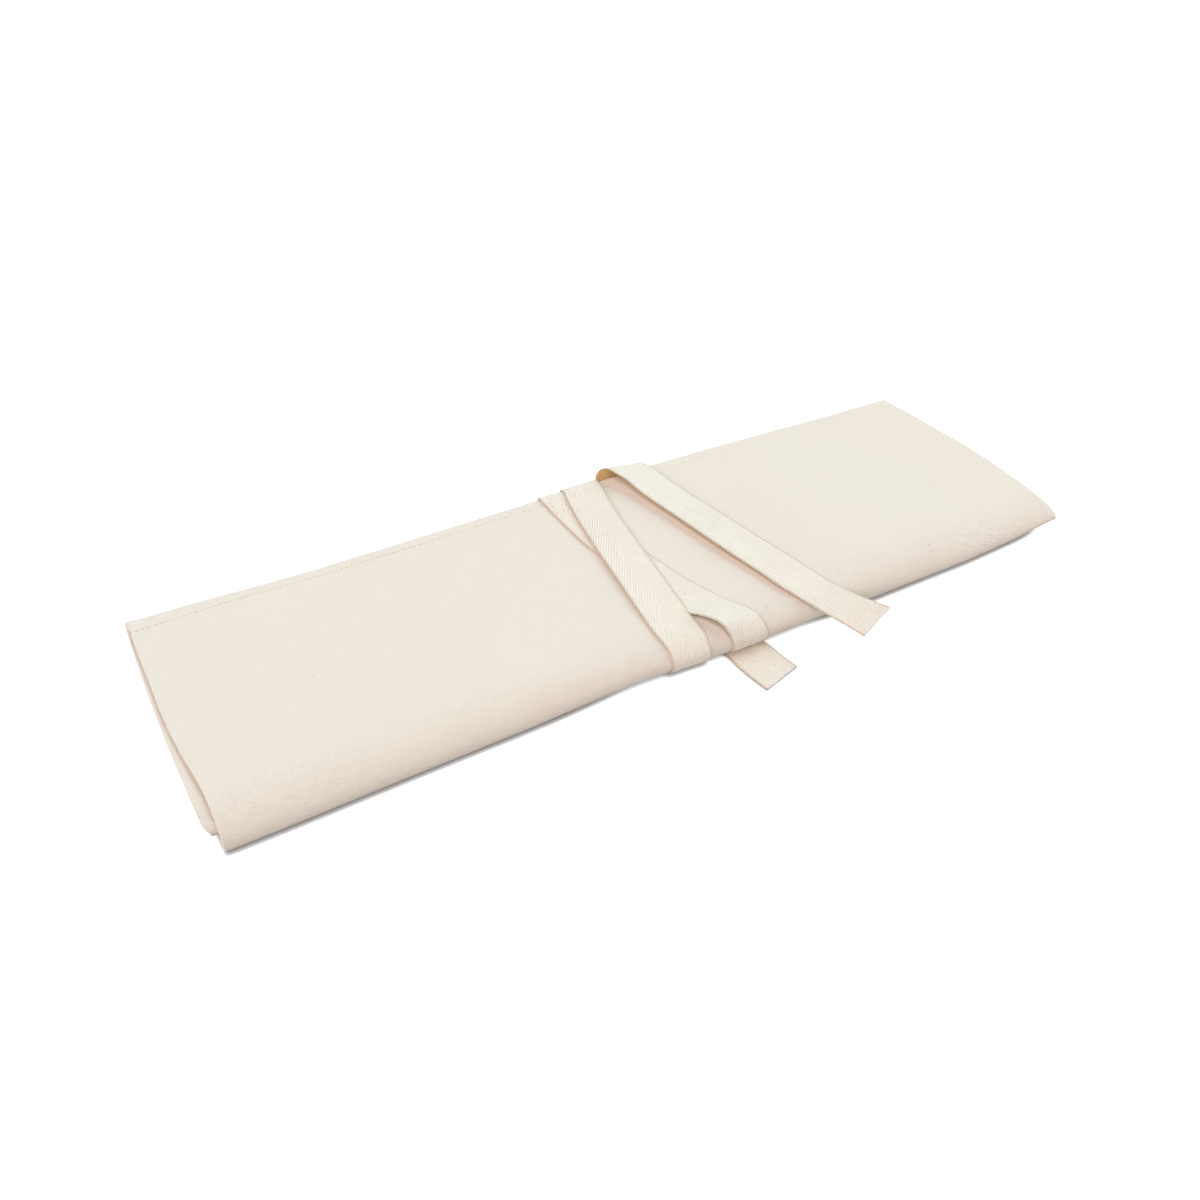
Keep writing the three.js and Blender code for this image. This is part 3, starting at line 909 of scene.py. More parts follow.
@dataclass(frozen=True)
class TapeFinish(CottonFinish):
    """Undyed cotton herringbone tape."""

    name: str = "tape"
    colour: Colour = from_screen(247, 243, 231)
    shade: Colour = from_screen(206, 186, 164)
    # Warm tan painted on the inner face of the loop: painted shade, in place of the warm bounced shade inside
    # the loop.
    inside: Colour = from_screen(250, 216, 150)
    fleck: Colour = from_screen(170, 146, 116)
    pitch: float = 0.0048
    spine: float = 0.015
    relief: float = 0.0006
    evenness: float = 0.28
    gap_share: float = 0.24
    edge_shade_share: float = 0.65
    loop_shade_share: float = 0.9
    bump: float = 0.54
    roughness: float = 0.88
    sheen: float = 0.1
    front_fold_span: Span = (-0.084, -0.1)
    front_fold_weights: Span = (1.0, 1.45)

    def make(self, groups: Groups) -> bpy.types.Material:
        """Build the material.

        Args:
            groups: Shared node groups.

        Returns:
            The material.
        """
        material, b, shader = start_material(self.name, self.roughness, self.sheen)
        place = b.put("ShaderNodeTexCoord")
        given = {"Place": place.outputs["UV"], "Pitch": self.pitch, "Spine": self.spine}
        bone = b.put("ShaderNodeGroup", given, node_tree=groups.herringbone)
        uneven, fleck, _ = self.marks(b, groups, place)
        even = b.sum("SUBTRACT", uneven, self.evenness)
        dark = b.sum("MULTIPLY_ADD", bone.outputs["Gap"], self.gap_share, even)
        # Painted shade: a thin darker band along both edges of the tape, in place of the shadow lines where
        # it lies on the cloth.
        dark = b.sum("MULTIPLY_ADD", bone.outputs["Edge shade"], self.edge_shade_share, dark)
        cloth = b.tint(b.fit(dark, 0.0, 1.0), self.colour, self.shade)
        # The loop's inner face is mixed toward warm tan: painted shade.
        inner = b.put("ShaderNodeAttribute", attribute_name="inside").outputs["Fac"]
        cloth = b.tint(b.sum("MULTIPLY", inner, self.loop_shade_share), cloth, self.inside)
        b.tree.links.new(b.tint(fleck, cloth, self.fleck), shader.inputs["Base Color"])
        front_fold_weight = b.fit(b.parts(place.outputs["Object"])[1], *self.front_fold_span, *self.front_fold_weights)
        ribs = b.sum("MULTIPLY", bone.outputs["Height"], front_fold_weight)
        bump = b.put("ShaderNodeBump", {"Height": ribs, "Strength": self.bump, "Distance": self.relief})
        b.tree.links.new(bump.outputs[0], shader.inputs["Normal"])
        return material


@dataclass(frozen=True)
class ThreadFinish:
    """Cotton sewing thread with its twist."""

    name: str = "thread"
    colour: Colour = from_screen(246, 241, 231)
    shade: Colour = from_screen(204, 190, 168)
    twists: float = 900.0
    twist_share: float = 0.5
    roughness: float = 0.7
    sheen: float = 0.1

    def make(self) -> bpy.types.Material:
        """Build the material.

        Returns:
            The material.
        """
        material, b, shader = start_material(self.name, self.roughness, self.sheen)
        place = b.put("ShaderNodeTexCoord")
        twist = b.put("ShaderNodeTexWave",
                      {"Vector": place.outputs["Object"], "Scale": self.twists, "Distortion": 1.0},
                      bands_direction="DIAGONAL")
        colour = b.tint(b.sum("MULTIPLY", twist.outputs["Fac"], self.twist_share), self.colour, self.shade)
        b.tree.links.new(colour, shader.inputs["Base Color"])
        return material


@dataclass
class Stitching:
    """Rows of running stitches, made by a node tree along given lines."""

    pitch: float = 0.0038
    stitch: float = 0.0028
    thread: float = 0.00046
    tree: bpy.types.NodeTree = field(init=False)
    identifiers: dict[str, str] = field(init=False, default_factory=dict)

    def __post_init__(self) -> None:
        """Build the tree once."""
        tree = bpy.data.node_groups.new("running stitch", "GeometryNodeTree")
        tree.interface.new_socket("Geometry", in_out="INPUT", socket_type="NodeSocketGeometry")
        for label, kind in (("Pitch", "NodeSocketFloat"), ("Stitch length", "NodeSocketFloat"),
                            ("Thread radius", "NodeSocketFloat"), ("Material", "NodeSocketMaterial")):
            socket = tree.interface.new_socket(label, in_out="INPUT", socket_type=kind)
            self.identifiers[label] = socket.identifier
        tree.interface.new_socket("Geometry", in_out="OUTPUT", socket_type="NodeSocketGeometry")
        b = NodeBoard(tree)
        given, result = b.put("NodeGroupInput"), b.put("NodeGroupOutput")
        line = b.put("GeometryNodeMeshToCurve", {"Mesh": given.outputs["Geometry"]})
        steps = b.put("GeometryNodeResampleCurve",
                      {"Curve": line.outputs[0], "Length": given.outputs["Pitch"]}, mode="LENGTH")
        grain = b.put("GeometryNodeMeshUVSphere", {"Segments": 6, "Rings": 5, "Radius": 1.0})
        half = b.sum("MULTIPLY", given.outputs["Stitch length"], 0.5)
        radius = given.outputs["Thread radius"]
        size = b.put("ShaderNodeCombineXYZ", {0: radius, 1: radius, 2: half})
        grain = b.put("GeometryNodeTransform", {"Geometry": grain.outputs[0], "Scale": size.outputs[0]})
        tangent = b.put("GeometryNodeInputTangent")
        turned = b.put("FunctionNodeAlignRotationToVector", {"Vector": tangent.outputs[0]}, axis="Z")
        along = {"Points": steps.outputs[0], "Instance": grain.outputs[0], "Rotation": turned.outputs[0]}
        copies = b.put("GeometryNodeInstanceOnPoints", along)
        real = b.put("GeometryNodeRealizeInstances", {0: copies.outputs[0]})
        dressed = b.put("GeometryNodeSetMaterial",
                        {"Geometry": real.outputs[0], "Material": given.outputs["Material"]})
        tree.links.new(dressed.outputs[0], result.inputs[0])
        self.tree = tree

    def sew(self, name: str, lines: list[Array], material: bpy.types.Material) -> bpy.types.Object:
        """Make the stitches along some lines as one mesh.

        Args:
            name: Name of the piece.
            lines: Points of each line, in millimetres, at the cloth's surface.
            material: Finish of the thread.

        Returns:
            The object.
        """
        points, edges = [], []
        for line in lines:
            first = len(points)
            points += (line * MM).tolist()
            edges += [(first + k, first + k + 1) for k in range(len(line) - 1)]
        guide = bpy.data.meshes.new(name + "_line")
        guide.from_pydata(points, edges, [])
        carrier = bpy.data.objects.new(name + "_line", guide)
        bpy.context.scene.collection.objects.link(carrier)
        modifier = carrier.modifiers.new("stitches", "NODES")
        modifier.node_group = self.tree
        settings = {"Pitch": self.pitch, "Stitch length": self.stitch, "Thread radius": self.thread,
                    "Material": material}
        for label, value in settings.items():
            modifier[self.identifiers[label]] = value
        seen = carrier.evaluated_get(bpy.context.evaluated_depsgraph_get())
        mesh = bpy.data.meshes.new_from_object(seen)
        mesh.name = name
        mesh.shade_smooth()
        bpy.data.objects.remove(carrier)
        bpy.data.meshes.remove(guide)
        piece = bpy.data.objects.new(name, mesh)
        bpy.context.scene.collection.objects.link(piece)
        return piece


@dataclass
class Workshop:
    """The finishes and tools that every sub-assembly uses."""

    shape: RollShape
    canvas: bpy.types.Material
    lining: bpy.types.Material
    tape: bpy.types.Material
    thread: bpy.types.Material
    stitching: Stitching


EndRule = Callable[[Array], Array]
HeightRule = Callable[[Array, Array], Array]
Row = tuple[Callable[[Array], tuple[Array, Array]], float, EndRule, EndRule]
CLOTH_COLUMNS = 240
CLOTH_RIM = 0.0012
CORE_INSET_OVER: Span = (-0.5, 0.1)


def lay_rows(rows: list[Row], columns: int = CLOTH_COLUMNS) -> Array:
    """Outer face of a run of canvas that is folded in the flat spiral.

    Args:
        rows: For each row a function of X that gives Y and Z, its place for the ends, and its two ends.
        columns: Number of even places along the roll.

    Returns:
        Points by column and row.
    """
    laid = []
    across = spaced(columns, CLOTH_RIM)
    for place, nominal, left, right in rows:
        x = mix(left(nominal), right(nominal), across)
        y, z = place(x)
        laid.append(np.stack([x, y, z], -1))
    return np.stack(laid, axis=1)


def flat_uv(face: Array) -> Array:
    """UV map in metres: X along the roll and the length of the path.

    Args:
        face: Grid of the outer face, in millimetres.

    Returns:
        A pair for each grid point.
    """
    middle = face[face.shape[0] // 2]
    steps = np.linalg.norm(np.diff(middle, axis=0), axis=1)
    along = np.concatenate([[0], np.cumsum(steps)])
    u = face[..., 0] * MM
    return np.stack([u, np.broadcast_to(along * MM, u.shape)], -1)


def edge_distance(face: Array) -> tuple[Array, Array]:
    """Distances of each grid point from the left and right ends of its row, in millimetres."""
    x = face[..., 0]
    return x - x[:1], x[-1:] - x


def hem_distance(face: Array) -> Array:
    """Distance of each grid point from the first row, along the path, in millimetres."""
    steps = np.linalg.norm(np.diff(face, axis=1), axis=2)
    return np.concatenate([np.zeros((face.shape[0], 1)), np.cumsum(steps, axis=1)], axis=1)


def line_along(face: Array, insets: Array, lift: Array) -> Array:
    """Points across a grid at a distance from its first row in each column, lifted off its face.

    Args:
        face: Grid of the outer face.
        insets: Distance in each column.
        lift: Lift in each column.

    Returns:
        One point in each column.
    """
    raised = face + outward(face) * lift[:, None, None]
    points = []
    for away, column, inset in zip(hem_distance(face), raised, insets):
        points.append([np.interp(inset, away, column[:, k]) for k in range(3)])
    return np.array(points)


def line_down(face: Array, inset: float, lift: float) -> Array:
    """Points along a grid's path at a distance from its right end, lifted off its face.

    Args:
        face: Grid of the outer face.
        inset: Distance from the right end.
        lift: Distance off the face.

    Returns:
        One point in each row.
    """
    raised = face + outward(face) * lift
    points = []
    for j in range(face.shape[1]):
        x = face[:, j, 0]
        points.append([np.interp(x[-1] - inset, x, raised[:, j, k]) for k in range(3)])
    return np.array(points)


@dataclass
class Cover:
    """Outer wrap of the cover: flap, front fold and base in one cloth, with its hems and stitches."""

    flap_rows: int = 84
    bend_rows: int = 30
    base_rows: int = 40
    stitch_inset: float = 8.6
    hem_depth: float = 1.15
    groove: float = 0.35
    puff: float = 0.22
    corner_flare: float = 1.4
    corner_rise: float = 0.9
    corner_more: float = 1.6
    corner_from_hem: Span = (5, 12)
    corner_from_left: Span = (3, 12)
    inset_more_left: float = 3.2
    inset_more_over: Span = (230, 312)
    right_hem_share: float = 0.6
    tip_inset: float = 7.5
    tip_stitches_from: float = -92.0
    hem_rim: float = 0.006
    thread_sunk: float = 0.08
    tip_thread_sunk: float = 0.1
    thread_sunk_more: float = 0.22
    plain_over: Span = (-60, 200)
    plain_share: float = 0.3
    seam_width: float = 1.5
    puff_from: Span = (0.2, 2.5)
    puff_to: float = 5.5
    pucker: float = 0.1
    pucker_length: float = 2.4
    pucker_sway: float = 1.4
    pucker_sway_length: float = 19.0
    pucker_middle: float = 4.5
    hem_step: float = 0.8
    flat: tuple[float, float] = (0.622, 0.418)

    def build(self, shop: Workshop) -> None:
        """Make, dress and tie the cloth and its stitches.

        Args:
            shop: Finishes and tools.
        """
        s = shop.shape
        face = self._grid(s)
        hem_x = face[:, 0, 0]
        insets = self.stitch_inset + self.inset_more_left * ease(-hem_x, *self.inset_more_over)
        sunk = -self.thread_sunk - self.thread_sunk_more * ease(hem_x, *self.plain_over)
        lines = [line_along(face, insets, sunk), self._tip_line(face)]
        face, depth = self._hems(s, face, insets)
        piece = Cloth("cover_outer", face, depth, flat_uv(face)).build(shop.canvas)
        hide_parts("cover_flap", "flap_edge_hem", "flap_left_hem", "flap_right_hem",
                    "cover_front_fold", "cover_base")
        set_moving(piece, Motion.FRONT_FOLD)
        sewn = shop.stitching.sew("cover_stitches", lines, shop.thread)
        set_moving(sewn, Motion.FRONT_FOLD)
        LOG.info("cover: %d rows of cloth, %d stitch lines", face.shape[1], len(lines))

    def _grid(self, s: RollShape) -> Array:
        """Outer face from the free hem over the flap, round the front fold and back along the base.

        Args:
            s: The roll's sizes and rules.

        Returns:
            Points by column and row.
        """
        flare = lambda y: self.corner_flare * (1 - ease(s.hem - y, *self.corner_from_hem))
        left = lambda y: s.flap_edge_x(y, False) - flare(y)
        right = lambda y: s.flap_edge_x(y, True)
        legs = []
        # The bend's first row takes the place of the last two rows here.
        for share in spaced(self.flap_rows, self.hem_rim)[:-2]:
            nominal = mix(s.hem_y(0.0), s.shoulder_y(0.0), share)
            legs.append((lambda x, f=share: self._flap(s, x, f), nominal, left, right))
        for turn in np.linspace(math.pi / 2, -math.pi / 2, self.bend_rows):
            nominal = float(s.front_bend(np.array(0.0), np.array(turn))[0])
            legs.append((lambda x, t=turn: s.front_bend(x, np.full_like(x, t)), nominal, left, right))
        for share in np.linspace(0, 1, self.base_rows)[1:]:
            nominal = mix(s.front_fold_y(0.0), s.back_fold_y(0.0), share)
            legs.append((lambda x, f=share: self._base(s, x, f), nominal, left, right))
        return lay_rows(legs)

    def _flap(self, s: RollShape, x: Array, share: float) -> tuple[Array, Array]:
        """Y and Z of the flap at a share of its depth."""
        y = mix(s.hem_y(x), s.shoulder_y(x), share)
        return y, s.topside(x, y)

    def _base(self, s: RollShape, x: Array, share: float) -> tuple[Array, Array]:
        """Y and Z of the base at a share of its depth."""
        y = mix(s.front_fold_y(x), s.back_fold_y(x), share)
        return y, s.underside(x, y)

    def _tip_line(self, face: Array) -> Array:
        """Line of the side hem's stitches that shows on the bend at the right end.

        Args:
            face: Outer face.

        Returns:
            Points along the line.
        """
        first = int(np.argmax(face[-1, :, 1] < self.tip_stitches_from))
        shown = face[:, first:self.flap_rows + self.bend_rows // 2]
        return line_down(shown, self.tip_inset, -self.tip_thread_sunk)

    def _hems(self, s: RollShape, face: Array, insets: Array) -> tuple[Array, Array]:
        """Draw the seam lines in, pucker the hems and thicken them.

        Args:
            s: The roll's sizes and rules.
            face: Outer face.
            insets: Distance of the stitches from the hem's edge at each column.

        Returns:
            The face with its seams and the cloth's depth at each point.
        """
        from_left, from_right = edge_distance(face)
        from_hem = hem_distance(face)
        x = face[..., 0]
        plain = mix(1.0, self.plain_share, ease(x, *self.plain_over))
        seam = plain * np.exp(-(((from_hem - insets[:, None]) / self.seam_width) ** 2))
        band = plain * ease(from_hem, *self.puff_from) * (1 - ease(from_hem, self.puff_to, self.stitch_inset))
        sway = self.pucker_sway * np.sin(x / self.pucker_sway_length)
        pucker = self.pucker * np.sin(x / self.pucker_length + sway)
        pucker = pucker * np.exp(-(((from_hem - self.pucker_middle) / self.pucker_middle) ** 2))
        hem = 1 - ease(from_hem, s.hem_width - self.hem_step, s.hem_width)
        right_hem = 1 - ease(from_right, s.side_hem_width - self.hem_step, s.side_hem_width)
        turned = np.maximum(hem, self.right_hem_share * right_hem)
        block = hem * (1 - ease(from_left, *self.corner_from_left))
        move = pucker + self.puff * band - self.groove * seam + self.corner_rise * block
        depth = s.canvas + self.hem_depth * turned + self.corner_more * block
        return face + outward(face) * move[..., None], depth


@dataclass
class Bundle:
    """Rest of the cover inside the wrap: back fold, inner panel, inner fold and core."""

    panel_rows: int = 40
    fold_rows: int = 14
    ends_part_over: Span = (-0.3, 0.5)
    flat: tuple[float, float] = (0.627, 0.41)

    def build(self, shop: Workshop) -> None:
        """Make, dress and tie the cloth.

        Args:
            shop: Finishes and tools.
        """
        s = shop.shape
        wrap = (lambda y: s.flap_edge_x(y, False), lambda y: s.flap_edge_x(y, True))
        ends = inset_ends(s, 0.0, 0.0)
        inner = lambda x, y: s.layers(x, y)["inner"] + s.canvas + s.strip_rise(x, y)
        core = lambda x, y: s.layers(x, y)["core"]
        back = float(s.back_fold_y(0.0))
        legs = []
        for t in np.linspace(-0.5, 0.5, self.fold_rows):
            share = float(ease(t, *self.ends_part_over))
            sides = [lambda y, a=a, b=b, k=share: mix(a(y), b(y), k) for a, b in zip(wrap, ends)]
            place = lambda x, t=t: half_fold(x, s.back_fold_y(x), s.back_fold_depth, s.underside, inner, t)
            legs.append((place, back, *sides))
        legs += panel_legs(s.back_fold_y, s.inner_fold_y, inner, ends, self.panel_rows)
        front = float(s.inner_fold_y(0.0))
        for t in np.linspace(0.5, -0.5, self.fold_rows)[1:]:
            place = lambda x, t=t: half_fold(x, s.inner_fold_y(x), -s.inner_fold_depth, core, inner, t)
            legs.append((place, front, *inset_ends(s, 0.0, float(ease(-t, *CORE_INSET_OVER)))))
        core_edge = lambda x: s.back_fold_y(x) - s.core_setback
        legs += panel_legs(s.inner_fold_y, core_edge, core, inset_ends(s, 0.0, 1.0), self.panel_rows)
        face = lay_rows(legs)
        depth = np.full(face.shape[:2], s.canvas)
        piece = Cloth("cover_bundle", face, depth, flat_uv(face)).build(shop.canvas)
        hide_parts("cover_back_fold", "cover_inner_panel", "cover_inner_fold", "cover_core_panel")
        set_moving(piece, Motion.ROLL)
        LOG.info("bundle: %d rows of cloth", face.shape[1])


def inset_ends(s: RollShape, setback: float, share: float) -> tuple[EndRule, EndRule]:
    """X rules of the ends of a layer inside the wrap.

    Args:
        s: The roll's sizes and rules.
        setback: How far its left end lies behind the inner panel's.
        share: How much of the core's inset is added, from 0 to 1.

    Returns:
        Rules of the left and the right end.
    """
    more = setback + s.core_inset * share
    return (lambda y: s.end_x(s.bundle_left, y) + more, lambda y: s.end_x(s.bundle_right, y))


def half_fold(x: Array, start: Array, depth: float, low: HeightRule, high: HeightRule,
              t: float) -> tuple[Array, Array]:
    """Half an ellipse from a lower layer to an upper one.

    Args:
        x: Places along the roll.
        start: Y where the fold begins.
        depth: How far it stands out, negative to the front.
        low: Height rule of the lower layer.
        high: Height rule of the upper layer.
        t: From -0.5 at the lower layer to 0.5 at the upper.

    Returns:
        Y and Z.
    """
    bottom, top = low(x, start), high(x, start)
    y = start + depth * math.cos(math.pi * t)
    return y, (bottom + top) / 2 + (top - bottom) / 2 * math.sin(math.pi * t)


def panel_legs(start: EndRule, stop: EndRule, height: HeightRule, ends: tuple[EndRule, EndRule],
               rows: int) -> list[Row]:
    """Rows of a flat section between two lines across the roll.

    Args:
        start: Y rule of the first line.
        stop: Y rule of the last line.
        height: Height rule of the outer face.
        ends: X rules of the left and right ends.
        rows: Number of rows, the first of which is left to the section before.

    Returns:
        The rows.
    """
    def place(x: Array, share: float) -> tuple[Array, Array]:
        """Y and Z at a share of the way."""
        y = mix(start(x), stop(x), share)
        return y, height(x, y)

    legs = []
    for share in np.linspace(0, 1, rows)[1:]:
        nominal = float(mix(start(0.0), stop(0.0), share))
        legs.append((lambda x, f=share: place(x, f), nominal, *ends))
    return legs


@dataclass
class PocketPanel:
    """Pocket panel for the saws, sewn inside the cover and folded with it."""

    panel_rows: int = 30
    fold_rows: int = 12
    columns: int = 120
    nested: float = 1.65
    flat: tuple[float, float] = (0.617, 0.59)

    def build(self, shop: Workshop) -> None:
        """Make, dress and tie the cloth.

        Args:
            shop: Finishes and tools.
        """
        s = shop.shape
        ends = inset_ends(s, s.pocket_setback, 0.0)
        rule = lambda name, up: lambda x, y: s.layers(x, y)[name] + up
        base, core = rule("pocket_base", 0.0), rule("pocket_core", 0.0)
        inner = rule("pocket_inner", s.canvas)
        depth_back, depth_front = s.back_fold_depth - self.nested, s.inner_fold_depth - self.nested
        legs = panel_legs(s.inner_fold_y, s.back_fold_y, base, ends, self.panel_rows)
        back, front = float(s.back_fold_y(0.0)), float(s.inner_fold_y(0.0))
        for t in np.linspace(-0.5, 0.5, self.fold_rows)[1:]:
            place = lambda x, t=t: half_fold(x, s.back_fold_y(x), depth_back, base, inner, t)
            legs.append((place, back, *ends))
        legs += panel_legs(s.back_fold_y, s.inner_fold_y, inner, ends, self.panel_rows)
        for t in np.linspace(0.5, -0.5, self.fold_rows)[1:]:
            place = lambda x, t=t: half_fold(x, s.inner_fold_y(x), -depth_front, core, inner, t)
            legs.append((place, front, *inset_ends(s, s.pocket_setback, float(ease(-t, *CORE_INSET_OVER)))))
        core_edge = lambda x: s.back_fold_y(x) - s.core_setback
        core_ends = inset_ends(s, s.pocket_setback, 1.0)
        legs += panel_legs(s.inner_fold_y, core_edge, core, core_ends, self.panel_rows)
        face = lay_rows(legs, self.columns)
        depth = np.full(face.shape[:2], s.canvas)
        piece = Cloth("pocket_panel", face, depth, flat_uv(face)).build(shop.lining)
        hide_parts("saw_pocket_base", "saw_pocket_back_fold", "saw_pocket_inner",
                    "saw_pocket_inner_fold", "saw_pocket_core")
        set_moving(piece, Motion.ROLL)
        LOG.info("pocket panel: %d rows of cloth", face.shape[1])


# Rows of a winding: turn, X, lift off the canvas, lean. Rows of a free end: X, Y, Z, curl.
UPPER_KEYS: Keys = (
    (-0.03, 0.6, 0.6, 0), (0.022, 0.6, 0.55, 0), (0.05, 0.6, 0.12, 0), (0.118, 0.6, 0.1, 0),
    (0.32, 1.5, 0.1, 0), (0.45, 4.2, 0.1, 0), (0.56, 6.2, 0.1, 0), (0.73, 13, 0.12, 0), (0.82, 18.8, 0.15, 0),
    (0.88, 23.6, 0.5, 0.4), (0.93, 28.4, 1.9, 1.9), (0.99, 33.8, 2.4, 2.3), (1.1, 35.2, 1.9, 1.7),
    (1.25, 36, 0.9, 0.7), (1.5, 36.4, 0.35, 0), (2, 36, 0.06, 0), (3, 50.8, 0.06, 0), (3.35, 51, 1, 0),
    (3.6, 53, 3.6, 0.6), (4, 61.5, 6, 2.2), (4.06, 65, 5.2, 2), (4.16, 67.2, 3.4, 1.4), (4.38, 73.6, 2.6, 1),
    (4.63, 81, 2.2, 0.8), (4.82, 88.5, 1.7, 0.6), (4.92, 92, 1.3, 0.4), (4.99, 95.6, 0.9, 0.3))
UPPER_END: Keys = (
    (99.8, -104, 19.9, 0), (103.8, -115.5, 19.6, 0.03), (108.5, -126.6, 19.1, 0.1), (113, -137.2, 18.6, 0.19))
LOWER_KEYS: Keys = (
    (-0.03, 0.6, 0.6, 0), (-1, 1, 0.06, 0), (-2, -7.6, 0.06, 0), (-2.5, -7.2, 0.4, 0), (-2.75, -6.6, 0.4, 0),
    (-3.02, -5.7, 0.45, 0), (-3.12, -4.6, 0.7, 0), (-3.3, -0.9, 1.3, 0), (-3.56, 4.9, 1.6, 0),
    (-3.8, 11.8, 1.5, 0), (-3.95, 17.6, 1.5, 0), (-4, 19.6, 1.5, 0), (-5, 19.9, 0.92, 0), (-6, 35.4, 0.92, 0))
LOWER_END: Keys = ((36, -101, 0.8, 0), (37.4, -112, 0.8, 0), (39, -124, 0.8, 0), (41.2, -135.2, 0.8, 0))


